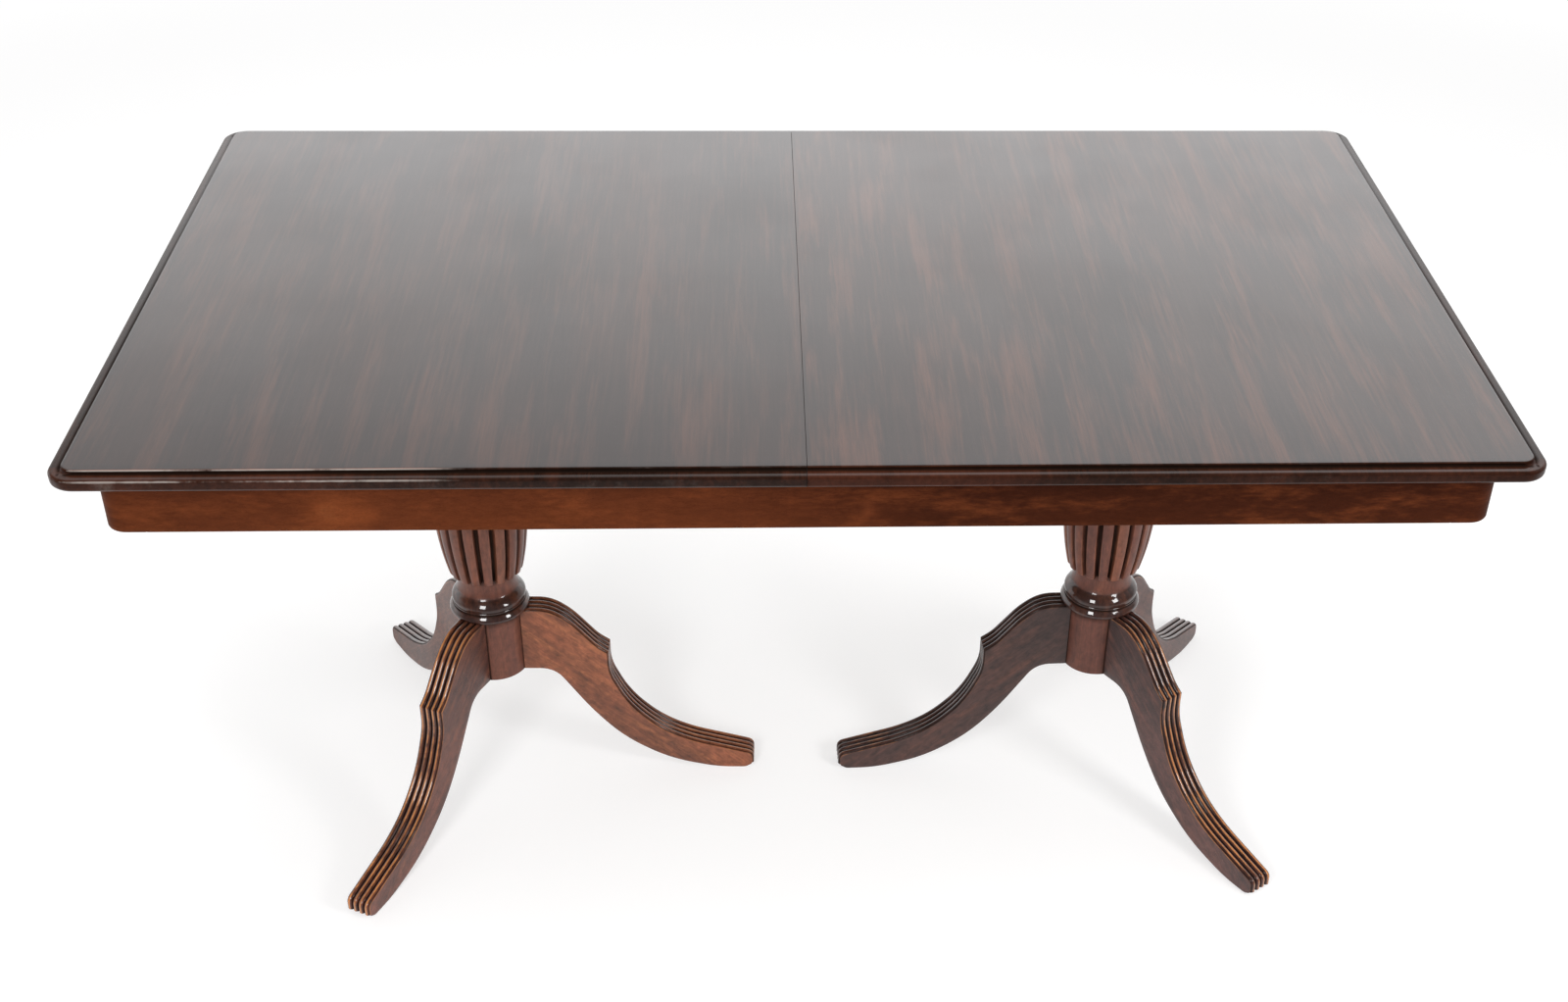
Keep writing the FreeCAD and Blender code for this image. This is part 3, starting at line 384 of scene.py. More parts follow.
def polished_wood(name, dark, body, red, worn, streaks, clouds, patchiness, roughness, coat, gloss_level,
                  fineness=1.0, coat_roughness=0.05, mottle=0.0, masked=True, grime_and_shade=(0.012, 0.007, 0.005)):
    material, tree = fresh_material(name)
    grain = lay(tree, "Attribute", attribute_name="grain").outputs["Vector"]
    rubbed_and_glint, hollow, tone, shine = (lay(tree, "Attribute", attribute_name=label).outputs["Fac"]
                                   for label in MASKS)
    toned = blend_colours(tree, sums(tree, "MAXIMUM", tone, 0.0), (*body, 1), (*red, 1))
    toned = blend_colours(tree, times(tree, tone, -1.0, clamp=True), toned, (*dark, 1))
    wood = place_group(tree, figure, {"Vector": grain, "Dark": (*dark, 1), "Body": toned, "Red": (*red, 1),
                                      "Streaks": streaks, "Clouds": clouds, "Fineness": fineness,
                                      "Mottle": mottle})
    worn_and_painted_wood = place_group(tree, wear_and_painted_light, {"Vector": grain, "Color": wood["Color"], "Rubbed_and_glint": rubbed_and_glint,
                                         "Hollow": hollow, "Worn": (*worn, 1), "Grime_and_shade": (*grime_and_shade, 1),
                                         "Patchiness": patchiness})
    marks = place_group(tree, polish, {"Vector": grain, "Least": roughness[0], "Most": roughness[1]})
    level = times_plus(tree, worn_and_painted_wood["Mask"], 0.12, marks["Roughness"])
    level = times_plus(tree, hollow, 0.3, level, clamp=True)
    mirror = times(tree, times_plus(tree, hollow, -0.85, 1.0),
                  times_plus(tree, shine, -0.7, 1.0))
    varnish = times(tree, sums(tree, "MAXIMUM", shine, coat),
                   times_plus(tree, hollow, -1.0, 1.0, clamp=True))
    fine_bump = lay(tree, "Bump", {"Strength": 0.25, "Distance": 0.0003, "Height": wood["Height"]})
    bump = lay(tree, "Bump", {"Strength": 0.2, "Distance": 0.002, "Height": marks["Height"],
                              "Normal": fine_bump.outputs[0]})
    shader = lay(tree, "BsdfPrincipled", {"Base Color": worn_and_painted_wood["Color"], "Roughness": level,
                                          "Normal": bump.outputs[0], "IOR": 1.5,
                                          "Specular IOR Level": gloss_level,
                                          "Coat Weight": varnish, "Coat Roughness": coat_roughness})
    if masked:
        tree.links.new(times(tree, mirror, gloss_level), shader.inputs["Specular IOR Level"])
    lay(tree, "OutputMaterial", {"Surface": shader.outputs[0]})
    return material


# %% Mix the polished finishes
# Each line gives dark, body, red and worn colours, then streaks, clouds, patchiness, the least and most
# roughness, the coat and the gloss level
TOP_STREAKS = {"left": 0.5, "right": 0.75}
top_finishes = {side: polished_wood(
    f"polished_top_{side}", (0.018, 0.011, 0.010), (0.034, 0.017, 0.013), (0.11, 0.042, 0.024),
    (0.30, 0.10, 0.05), streaks, 0.6, 0.5, (0.31, 0.38), 1.0, 0.6, masked=False)
    for side, streaks in TOP_STREAKS.items()}
# The moulding's worn colour is near white: it colours the chips, and the painted highlight on the lip
edge_finish = polished_wood(
    "top_moulding", (0.011, 0.006, 0.004), (0.020, 0.009, 0.0055), (0.075, 0.021, 0.010),
    (0.5, 0.44, 0.40), 0.5, 0.5, 0.9, (0.3, 0.4), 0.0, 0.1, mottle=1.2)
apron_finish = polished_wood(
    "apron_wood", (0.024, 0.0055, 0.0022), (0.086, 0.0215, 0.0071), (0.15, 0.038, 0.011),
    (0.45, 0.17, 0.06), 0.4, 0.25, 0.5, (0.45, 0.6), 0.0, 0.03, mottle=0.15, masked=False)
column_finish = polished_wood(
    "turned_wood", (0.03, 0.010, 0.007), (0.125, 0.038, 0.023), (0.19, 0.062, 0.03),
    (0.42, 0.16, 0.08), 0.4, 0.25, 0.6, (0.34, 0.5), 0.0, 0.45, mottle=1.5)
# Each leg has its own colours: darker where it stands in shade, lighter where light falls on it, and greyer
# with lifted darks for the back legs in haze. This is painted light and shade over one wood.
LEG_COLOURS_AS_LIT = {
    "left_inner": ((0.07, 0.024, 0.014), (0.255, 0.079, 0.035), (0.33, 0.115, 0.045)),
    "left_front": ((0.045, 0.016, 0.012), (0.165, 0.050, 0.030), (0.24, 0.078, 0.036)),
    "left_back": ((0.07, 0.030, 0.022), (0.125, 0.050, 0.034), (0.18, 0.074, 0.045)),
    "right_inner": ((0.030, 0.015, 0.013), (0.055, 0.023, 0.018), (0.12, 0.042, 0.025)),
    "right_front": ((0.028, 0.012, 0.011), (0.105, 0.040, 0.032), (0.16, 0.056, 0.036)),
    "right_back": ((0.06, 0.026, 0.021), (0.11, 0.045, 0.034), (0.16, 0.066, 0.045)),
}
leg_finishes = {name: polished_wood(f"leg_wood_as_lit_{name}", *colours, (0.62, 0.24, 0.07), 0.5, 0.6, 0.8,
                                    (0.36, 0.5), 0.0, 0.5, 2.0, 0.13, mottle=2.2)
                for name, colours in LEG_COLOURS_AS_LIT.items()}
# The seam faces are near black: painted shade for the narrow gap between the halves and the peg holes
seam_finish = polished_wood("seam_face", (0.006, 0.003, 0.002), (0.012, 0.006, 0.004), (0.02, 0.009, 0.006),
                            (0.05, 0.02, 0.01), 0.5, 0.5, 0.5, (0.8, 0.95), 0.0, 0.05, masked=False)
print("leg boards:", len(leg_finishes))

# %% [markdown]
# ## From points to a piece
# A mesh is a list of points and a list of faces. This helper makes one piece from them, writes the
# attributes, shades it smooth but for its sharp edges, and hides the CAD node it stands for.

# %% Write the piece helper
def piece(name, points, faces, materials, body, node, grain, masks, face_material=None, sharp=38):
    mesh = bpy.data.meshes.new(name)
    points = np.asarray(points, float)
    mesh.from_pydata(points.tolist(), [], faces)
    count = len(points)
    for label in MASKS:
        layer = mesh.attributes.new(label, "FLOAT", "POINT")
        layer.data.foreach_set("value", np.asarray(masks.get(label, np.zeros(count)), float))
    layer = mesh.attributes.new("grain", "FLOAT_VECTOR", "POINT")
    layer.data.foreach_set("vector", np.asarray(grain, float).ravel())
    for material in materials:
        mesh.materials.append(material)
    if face_material is not None:
        mesh.polygons.foreach_set("material_index", face_material)
    mesh.shade_smooth()
    mesh.set_sharp_from_angle(angle=math.radians(sharp))
    mesh.validate()
    made = bpy.data.objects.new(name, mesh)
    bpy.context.scene.collection.objects.link(made)
    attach(made, body)
    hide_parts(node)
    print(name, len(mesh.vertices), "points", len(mesh.polygons), "faces")
    return made


def skin(rows, columns, closed_across):
    """Quads between neighbouring rows of points in a grid of rows by columns."""
    quads = []
    for row in range(rows - 1):
        for column in range(columns if closed_across else columns - 1):
            after = (column + 1) % columns
            quads.append((row * columns + column, row * columns + after,
                          (row + 1) * columns + after, (row + 1) * columns + column))
    return quads


def closed_tube(rows, columns):
    """A skin that closes on itself, with a face over each end."""
    return skin(rows, columns, True) + [list(range(columns))[::-1],
                                        [(rows - 1) * columns + i for i in range(columns)]]


# %% [markdown]
# ## The two halves of the top
# Each half is a panel that stands a little above a ledge, with a hollow cove between them and a round
# bead outside. That moulding is one short profile carried along the edge, from the seam at the
# front, round two corners, to the seam at the back. The flat faces are filled in afterwards.

# %% Draw the moulding of the top
MM = 0.001
TOP = {side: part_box(f"top_panel_{side}") for side in ("left", "right")}
TOP_UNDERSIDE, TOP_FACE = TOP["left"][0].z, TOP["left"][1].z
CORNER = 30 * MM
BEAD, LEDGE_DROP, PANEL_INSET, COVE, LIP = 6.75 * MM, 4.5 * MM, 14 * MM, 2.6 * MM, 1.5 * MM
BEAD_FOOT, BEAD_SHOULDER = 4.5 * MM, 3.4 * MM
FLAT_INSET = 28 * MM


def arc_points(centre, radius, start, end, count):
    """Points on an arc, as pairs; angles in degrees."""
    angles = np.radians(np.linspace(start, end, count))
    return [(centre[0] + radius * math.cos(a), centre[1] + radius * math.sin(a)) for a in angles]


def moulding_profile():
    """Inset from the outer edge and height, from the flat underside over the edge to the panel."""
    ledge = TOP_FACE - LEDGE_DROP
    profile = [(FLAT_INSET, TOP_UNDERSIDE), (BEAD + 4 * MM, TOP_UNDERSIDE)]
    profile += arc_points((BEAD_FOOT, TOP_UNDERSIDE + BEAD_FOOT), BEAD_FOOT, 270, 180, 8)
    profile += arc_points((BEAD_SHOULDER, ledge - BEAD_SHOULDER), BEAD_SHOULDER, 180, 90, 8)
    profile += [(BEAD_SHOULDER + 0.4 * MM, ledge), (BEAD + 0.4 * MM, ledge)]
    profile += [(PANEL_INSET - COVE - 0.4 * MM, ledge), (PANEL_INSET - COVE, ledge)]
    profile += arc_points((PANEL_INSET - COVE, ledge + COVE), COVE, 290, 360, 6)
    profile += arc_points((PANEL_INSET + LIP, TOP_FACE - LIP), LIP, 180, 90, 7)
    profile += [(PANEL_INSET + 3 * MM, TOP_FACE), (FLAT_INSET, TOP_FACE)]
    return profile


MOULDING = moulding_profile()
print("profile of", len(MOULDING), "points, from", round(TOP_UNDERSIDE, 4), "to", round(TOP_FACE, 4))


# %% Carry the moulding round a half
def edge_path(side, spacing=8 * MM):
    """Points along the outer edge, each with the direction that leads inwards."""
    low, high = TOP[side]
    seam, end = (high.x, low.x) if side == "left" else (low.x, high.x)
    way = 1 if end > seam else -1
    turn, front, back = end - way * CORNER, low.y + CORNER, high.y - CORNER
    along, across = round(abs(end - seam) / spacing), round((high.y - low.y) / spacing)
    quarter = [(math.sin(a), math.cos(a)) for a in np.radians(np.linspace(0, 90, 13))[1:]]
    stations = [(x, low.y, 0, 1) for x in np.linspace(seam, turn, along)]
    stations += [(turn + way * CORNER * s, front - CORNER * c, -way * s, c) for s, c in quarter]
    stations += [(end, y, -way, 0) for y in np.linspace(front, back, across)[1:]]
    stations += [(turn + way * CORNER * c, back + CORNER * s, -way * c, -s) for s, c in quarter]
    stations += [(x, high.y, 0, -1) for x in np.linspace(turn, seam, along)[1:]]
    return stations


def smooth_step(value):
    value = np.clip(value, 0, 1)
    return value * value * (3 - 2 * value)


print("edge of a half:", len(edge_path("left")), "stations")

# %% [markdown]
# ## The face at the seam
# When the halves are drawn apart their inner faces show. The right half has three round holes there
# for the pegs of the left one, so its face is cut by a triangulation that respects the holes. A hair of
# air keeps the halves of the model apart, and light would shine through it. A thin strip on the left
# half fills most of the gap.

# %% Cut the face at the seam
PEG_RADIUS, PEG_REACH = 4.4 * MM, 19 * MM
PEG_Y = (-0.19, 0.0, 0.19)
# From inside the left half to just short of the right one
SEAM_STRIP = (-0.8 * MM, 0.25 * MM)


def round_hole(centre, radius, count=20):
    angles = np.linspace(0, 2 * math.pi, count, endpoint=False)
    return [(centre[0] + radius * math.cos(a), centre[1] + radius * math.sin(a)) for a in angles]


def seam_face(points, loop, centres):
    """Triangles that fill a closed loop of points in the plane of the seam, but for round holes."""
    flat = [Vector((points[i][1], points[i][2])) for i in loop]
    rings = [list(range(len(loop)))]
    for centre in centres:
        hole = round_hole(centre, PEG_RADIUS)
        rings.append(list(range(len(flat), len(flat) + len(hole))))
        flat += [Vector(p) for p in hole]
    edges = [(ring[i], ring[(i + 1) % len(ring)]) for ring in rings for i in range(len(ring))]
    made, _, triangles, origin, _, _ = delaunay_2d_cdt(flat, edges, [], 1, 1e-7)
    kept = []
    for triangle in triangles:
        middle = sum((made[i] for i in triangle), Vector((0, 0))) / 3
        if all((middle - Vector(centre)).length > PEG_RADIUS * 0.98 for centre in centres):
            kept.append([origin[i][0] for i in triangle])
    return rings[1:], kept


def add_seam_strip(points, faces):
    """A thin strip low on the left half's inner face, so that no light comes through the seam."""
    first, reach = len(points), TOP["left"][1].y - 2 * MM
    inner, outer = SEAM_STRIP
    for z in (TOP_UNDERSIDE + 1.2 * MM, TOP_FACE - LEDGE_DROP - MM):
        points += [(inner, -reach, z), (outer, -reach, z), (outer, reach, z), (inner, reach, z)]
    for face in ((3, 2, 1, 0), (4, 5, 6, 7), (0, 1, 5, 4), (1, 2, 6, 5), (2, 3, 7, 6), (3, 0, 4, 7)):
        faces.append([first + corner for corner in face])


print("peg holes at", PEG_Y)


# %% Build the mesh of a half
def top_half(side):
    stations = edge_path(side)
    way = 1 if side == "left" else -1
    columns = len(MOULDING)
    points = [(x + inset * nx, y + inset * ny, z) for x, y, nx, ny in stations for inset, z in MOULDING]
    faces = skin(len(stations), columns, False)
    last = (len(stations) - 1) * columns
    faces.append([row * columns for row in range(len(stations))])
    faces.append([row * columns + columns - 1 for row in reversed(range(len(stations)))])
    loop = list(range(columns)) + [last + column for column in reversed(range(columns))]
    middle = (TOP_UNDERSIDE + TOP_FACE - LEDGE_DROP) / 2
    centres = [(y, middle) for y in PEG_Y] if side == "right" else []
    seam = points[0][0]
    rings, triangles = seam_face(points, loop, centres)
    index = dict(enumerate(loop))
    for ring, centre in zip(rings, centres):
        hole = round_hole(centre, PEG_RADIUS)
        for flat_index, (y, z) in zip(ring, hole):
            index[flat_index] = len(points)
            points.append((seam, y, z))
        inner = list(range(len(points), len(points) + len(hole)))
        points += [(seam - way * PEG_REACH, y, z) for y, z in hole]
        rim = [index[i] for i in ring]
        faces += [(a, b, c, d) for a, b, c, d in zip(rim, rim[1:] + rim[:1], inner[1:] + inner[:1], inner)]
        faces.append(inner)
    faces += [[index[i] for i in triangle] for triangle in triangles]
    if side == "left":
        add_seam_strip(points, faces)
    return np.array(points), faces


half_meshes = {side: top_half(side) for side in ("left", "right")}
print({side: len(points) for side, (points, _) in half_meshes.items()}, "points")

# %% [markdown]
# ## Where the top is worn, and where highlight and shade are painted on it
# The lip of the panel and the bead below it are rubbed. At the front left the lip and the bead's shoulder
# are also painted pale as a highlight. The cove is painted dark, partly dark polish and partly painted
# shade, the ledges of the ends are dark, and parts of the front moulding are redder. Each is a mask,
# worked out from how far in from the edge a point lies.

# %% Mark the worn places, the dark places and the painted highlight of the top
GRAIN_START = {"left": 3.0, "right": 8.2}
# A painted highlight: the lip turns pale to the left of the first place, over the second length
GLINT_START, GLINT_FADE = -0.3, 0.14
# Chips in the bead at the front: where, and how strong
CHIPS, CHIP_WIDTH = [(-0.715, 1.0), (0.01, 0.6)], 12 * MM
# The front moulding is redder from the seam to here, and from each of these places outwards
FRONT_LINE, RED_END = -0.43, 0.24
RED_RIGHT, RED_RIGHT_FADE, RED_LEFT, RED_LEFT_FADE = 0.45, 0.3, -0.5, 0.14
# The ledges of the ends are darkest up to this place, and clearer towards the back
LEDGE_DARK_START, LEDGE_DARK_FADE = -0.2, 0.5
JUST_BELOW_FACE = TOP_FACE - 0.1 * MM


def rubbed_and_glint_of_top(x, y, z, inset, lip, painted_glint):
    # A little wear all along the lip, and at the front left a pale painted highlight on the lip and the
    # bead's shoulder
    rubbed_and_glint = np.where(lip & (z > TOP_FACE - 1.2 * MM), 0.12 + 0.78 * painted_glint, 0.0)
    shoulder = np.abs(z - (TOP_FACE - LEDGE_DROP - 1.3 * MM)) < 0.9 * MM
    rubbed_and_glint = np.where(shoulder & (inset < 3 * MM), 0.7 * painted_glint, rubbed_and_glint)
    belly = np.abs(z - (TOP_UNDERSIDE + BEAD)) < 5 * MM
    rubbed_and_glint = np.where(belly & (inset < 6 * MM), np.maximum(rubbed_and_glint, 0.08), rubbed_and_glint)
    chipped = sum(amount * np.exp(-((x - place) / CHIP_WIDTH) ** 2) for place, amount in CHIPS)
    return np.maximum(rubbed_and_glint, np.where(belly & (inset < 8 * MM) & (y < 0), 0.18 * chipped, 0))


def hollow_of_top(y, z, inset, lip, on_moulding, front):
    # The cove is painted dark and dull: partly dark polish, partly painted shade under the lip
    in_cove = (inset > PANEL_INSET - COVE + 0.5 * MM) & (inset < PANEL_INSET + 0.1 * MM)
    hollow = np.where(on_moulding & in_cove, 0.9, 0.0)
    hollow = np.where(lip & (z > TOP_FACE - LIP + 0.05 * MM), 0.0, hollow)
    # The ledges of the ends are painted dark and dull, most at the front
    end_ledge = on_moulding & (inset > BEAD + 2 * MM) & (inset < PANEL_INSET) & (y > front + 25 * MM)
    ledge_dark = 0.95 - 0.6 * smooth_step((y - LEDGE_DARK_START) / LEDGE_DARK_FADE)
    return np.where(end_ledge, np.maximum(hollow, ledge_dark), hollow)


def shine_of_top(x, y, z, inset, lip, painted_glint, front):
    on_ledge = (np.abs(z - TOP_FACE + LEDGE_DROP) < 0.05 * MM) & (inset > BEAD_SHOULDER - 0.1 * MM)
    bead = np.where(y < front + 20 * MM, np.where(x > 0, 0.25, 0.55), 0.12) * (inset < BEAD + 1 * MM)
    return 0.9 * np.where(lip, painted_glint, np.where(on_ledge, 1.0, bead))


def tone_of_top(x, y, inset, on_moulding):
    """Redder along parts of the front moulding, and darker at the panel's border."""
    fresh = np.where((x > 0) & (x < RED_END), 0.9, 0.15)
    to_right = smooth_step((x - RED_RIGHT) / RED_RIGHT_FADE)
    fresh = np.where(x > RED_END, 0.35 + 0.3 * to_right, fresh)
    fresh = np.maximum(fresh, 0.8 * (1 - smooth_step((x - RED_LEFT) / RED_LEFT_FADE)))
    border = smooth_step(1 - (inset - PANEL_INSET - 3 * MM) / (11 * MM))
    return np.where(on_moulding, np.where(y < FRONT_LINE, fresh, -0.3), -0.8 * border)


print("chips:", len(CHIPS))


# %% Make both halves
def finish_half(side):
    points, faces = half_meshes[side]
    low, high = TOP[side]
    x, y, z = points.T
    inset = np.minimum(np.minimum(y - low.y, high.y - y), (x - low.x) if side == "left" else (high.x - x))
    grain = np.column_stack([y + GRAIN_START[side], x + GRAIN_START[side], z])
    on_moulding = z < JUST_BELOW_FACE
    lip = np.abs(inset - PANEL_INSET - 0.7 * MM) < 1.2 * MM
    # Painted highlight: where the front left lip is painted pale
    painted_glint = smooth_step((GLINT_START - x) / GLINT_FADE) * (y < low.y + 18 * MM)
    masks = {"rubbed_and_glint": rubbed_and_glint_of_top(x, y, z, inset, lip, painted_glint),
             "hollow": hollow_of_top(y, z, inset, lip, on_moulding, low.y),
             "tone": tone_of_top(x, y, inset, on_moulding),
             "shine": shine_of_top(x, y, z, inset, lip, painted_glint, low.y)}
    at_seam = (np.abs(x) < MM) | ((np.abs(x) < PEG_REACH + MM) & (inset > FLAT_INSET + MM))

    def finish_number(face):
        """0 for the polished panel, 2 for the seam and the peg holes, 1 for the rest."""
        if all(z[i] > JUST_BELOW_FACE for i in face):
            return 0
        return 2 if all(at_seam[i] for i in face) else 1

    return piece(f"top_{side}", points, faces, [top_finishes[side], edge_finish, seam_finish],
                 f"top_{side}", f"top_panel_{side}", grain, masks,
                 [finish_number(face) for face in faces])


tops = [finish_half(side) for side in half_meshes]

# %% [markdown]
# ## What the top doesn't mirror
# Seen from behind, the flat polish would show the two soft boxes as large white squares. Light linking
# names the objects that a lamp leaves out, so both boxes skip the halves of the top.

# %% Keep the soft boxes out of the mirror of the top
unlit = bpy.data.collections.new("not_for_soft_boxes")
for top in tops:
    unlit.objects.link(top)
for member in unlit.collection_objects:
    member.light_linking.link_state = "EXCLUDE"
for name in ("box_left", "box_right"):
    lamps[name].light_linking.receiver_collection = unlit
print("halves left out of the soft boxes:", len(tops))

# %% [markdown]
# ## The apron frame
# Four boards and four rounded corner blocks make a flush frame, and the veneer runs round it without a
# visible joint. So the grain vector is measured along the frame's outer face, and it carries on round
# each corner.

# %% Build the apron boards and corner blocks
HALF_X, HALF_Y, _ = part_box("corner_block_back_right")[1]
BLOCK_X, BLOCK_Y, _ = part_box("corner_block_front_left")[1]
BLOCK_RADIUS, ARRIS = 25 * MM, 1.6 * MM
ARC_LENGTH = BLOCK_RADIUS * math.pi / 2


def run_of(x, y):
    """How far round the outside of the frame a point is, from the middle of the front."""
    inner_x, inner_y = HALF_X - BLOCK_RADIUS, HALF_Y - BLOCK_RADIUS
    if abs(x) > inner_x and abs(y) > inner_y:
        run = inner_x + math.atan2(abs(x) - inner_x, abs(y) - inner_y) * BLOCK_RADIUS
    elif abs(y) - inner_y > abs(x) - inner_x:
        run = abs(x)
    else:
        run = inner_x + ARC_LENGTH + (inner_y - abs(y))
    if y > 0:
        run = 2 * (inner_x + ARC_LENGTH + inner_y) - run
    return run if x > 0 else -run


def slab(outline, low, high, arris):
    """An upright block on a closed outline, its lower and upper outside edges eased."""
    outline = np.array(outline)
    count = len(outline)
    before, after = np.roll(outline, 1, axis=0), np.roll(outline, -1, axis=0)
    first = (outline - before) / np.linalg.norm(outline - before, axis=1)[:, None]
    second = (after - outline) / np.linalg.norm(after - outline, axis=1)[:, None]
    normals = np.column_stack([-(first + second)[:, 1], (first + second)[:, 0]])
    normals /= (1 + np.sum(first * second, axis=1))[:, None]
    rows = [(arris, low), (0.3 * arris, low + 0.3 * arris), (0, low + arris)]
    rows += [(0, low + (high - low) * t) for t in np.linspace(0.1, 0.9, 6)]
    rows += [(0, high - 0.4 * arris), (0.4 * arris, high)]
    points = [(*(outline[i] + normals[i] * inset), z) for inset, z in rows for i in range(count)]
    return np.array(points), closed_tube(len(rows), count)


# The veneer is darker to the right of this place, over this length
DARKER_FROM, DARKER_OVER = -0.16, 0.34
# Paler places in the veneer of the front: where, how wide and high, and how much redder
APRON_PATCHES = [(-0.497, 0.693, 0.026, 0.022, 1.5), (-0.462, 0.688, 0.010, 0.009, 0.9),
                 (-0.242, 0.705, 0.009, 0.010, 0.7), (0.066, 0.692, 0.009, 0.010, 0.9)]


def frame_piece(node, outline):
    low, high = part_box(node)
    points, faces = slab(outline, low.z, high.z, ARRIS)
    grain = [(run_of(x, y) + 5, z, 0.3 * (abs(x) + abs(y))) for x, y, z in points]
    rubbed_and_glint = np.clip(1 - (points[:, 2] - low.z) / (3 * MM), 0, 1) * 0.5
    drop = (high.z - points[:, 2]) / (high.z - low.z)
    # Painted shade: the boards are darker at the top, under the overhanging top, and redder lower down
    tone = 0.25 * (drop - 0.5) - 0.85 * smooth_step((points[:, 0] - DARKER_FROM) / DARKER_OVER)
    for x, z, wide, tall, amount in APRON_PATCHES:
        patch = amount * np.exp(-((points[:, 0] - x) / wide) ** 2 - ((points[:, 2] - z) / tall) ** 2)
        patch = np.where(points[:, 1] < 0, patch, 0)
        tone += patch
        rubbed_and_glint = np.maximum(rubbed_and_glint, 0.15 * patch)
    return piece(f"{node}_veneered", points, faces, [apron_finish], "frame", node, grain,
                 {"rubbed_and_glint": rubbed_and_glint, "tone": tone})


def board_outline(x0, x1, y0, y1, spacing=10 * MM):
    """The outline of a straight board, divided so that the grain vector is followed closely."""
    corners = [(x0, y0), (x1, y0), (x1, y1), (x0, y1)]
    points = []
    for (ax, ay), (bx, by) in zip(corners, corners[1:] + corners[:1]):
        steps = max(1, round(max(abs(bx - ax), abs(by - ay)) / spacing))
        points += [(ax + (bx - ax) * i / steps, ay + (by - ay) * i / steps) for i in range(steps)]
    return points


THICK = 20 * MM
for node, box in {
    "apron_front": (BLOCK_X, -BLOCK_X, -HALF_Y, -HALF_Y + THICK),
    "apron_back": (BLOCK_X, -BLOCK_X, HALF_Y - THICK, HALF_Y),
    "apron_end_left": (-HALF_X, -HALF_X + THICK, BLOCK_Y, -BLOCK_Y),
    "apron_end_right": (HALF_X - THICK, HALF_X, BLOCK_Y, -BLOCK_Y),
}.items():
    frame_piece(node, board_outline(*box))


def block_outline(sign_x, sign_y):
    """A square block with one large rounded corner, turned to its place in the frame."""
    x0, y0, x1, y1 = -BLOCK_X, -BLOCK_Y, HALF_X, HALF_Y
    points = [(x0, y0), (x1, y0)]
    points += arc_points((x1 - BLOCK_RADIUS, y1 - BLOCK_RADIUS), BLOCK_RADIUS, 0, 90, 15)
    points += [(x0, y1)]
    points = [(sign_x * x, sign_y * y) for x, y in points]
    return points if sign_x * sign_y > 0 else points[::-1]


for face, sign_y in (("front", -1), ("back", 1)):
    for side, sign_x in (("left", -1), ("right", 1)):
        frame_piece(f"corner_block_{face}_{side}", block_outline(sign_x, sign_y))

# %% [markdown]
# ## The turned columns
# A turner cuts the rings, the cup and the swelling of the urn on the lathe, and then the reeds are
# carved along the urn. In code the column is a grid of points on circles. Between the urn's ends the
# radius dips at each groove. The reeds are broad and gently rounded, and their lower ends are cut
# square and stand proud of the neck. The reeds differ a little in tone from one to the next.

# %% Draw the column's profile
COLUMN_X = {"left": -0.413, "right": 0.413}
LEG_BEARINGS = {"left": {"inner": -1, "back": 122, "front": 243},
                "right": {"inner": 182, "back": 55, "front": 304}}
# Degrees from a leg's middle to the joint line beside it
LEG_JOINT = 23.8
REEDS, AROUND = 18, 18 * 16
URN_LOW, URN_HIGH, URN_RADIUS = 334 * MM, 552 * MM, 61.5 * MM
URN_SWELL = [(0, 0.79), (0.13, 0.885), (0.3, 0.965), (0.47, 1), (0.7, 0.945), (0.88, 0.83), (1, 0.74)]
GROOVE_SHARE = 0.085
REED_FLAT_SHARE, GROOVE_WALL_SHARE = 0.31, 0.41
URN_ROWS = 62
# Radius and height in millimetres, from the hub's foot up over the ring and the cup to the urn
LOWER_TURNING = [(0, 176), (30, 176), (43.6, 176), (45, 177.4), (45, 200), (45, 230), (45, 262),
                 (45, 272), (45.6, 272.8), (47.6, 273.4), (50.6, 274.2), (52.6, 275.8), (53.2, 278),
                 (52.9, 279.6), (52.2, 281), (51.3, 282.4), (50.4, 283.8), (49.6, 285), (48.6, 285.6),
                 (48, 286.2), (47.8, 287), (48.6, 287.6), (49.1, 288.2), (49.2, 289.2), (48.6, 290),
                 (48.5, 290.6), (48.9, 291.7), (49.2, 293.4), (49.1, 295), (48.8, 296.5), (48.3, 297.5),
                 (47.35, 299), (46.35, 300.5), (45.2, 302), (43.85, 303.5), (42.5, 305), (41.3, 306.5),
                 (40.3, 308), (39.4, 310), (38.5, 313), (37.8, 318), (37.3, 326), (37, 334)]
UPPER_TURNING = [(44, 552), (47, 553), (48, 556.5), (47, 560), (44, 561), (40, 564), (36.5, 572),
                 (36, 582), (38.5, 595), (43, 602), (46, 604.5), (51, 607), (52, 610.5), (51, 614),
                 (46, 616.5), (42.5, 619), (42, 626), (44, 638), (49, 646), (54, 648.5), (54, 671.2),
                 (53.2, 672), (20, 672), (20, 694), (0, 694)]
# Painted shade in the hollows between and under the rings, and a faint painted dark reflection over
# the cup: from, to, how dark
DARK_BANDS = [(271.5, 274.3, 0.8), (274.3, 276.5, 0.4), (285.4, 287.3, 0.9), (289.8, 291, 0.7),
              (291, 307, 0.12), (331, 334.5, 0.6)]
# The ring and the cup are glossy, and they are painted dark as a reflection of the dim room in front:
# where the gloss starts and ends, and how fast it fades
GLOSS_START, GLOSS_END, GLOSS_FADES = 273, 305.5, (2, 4)


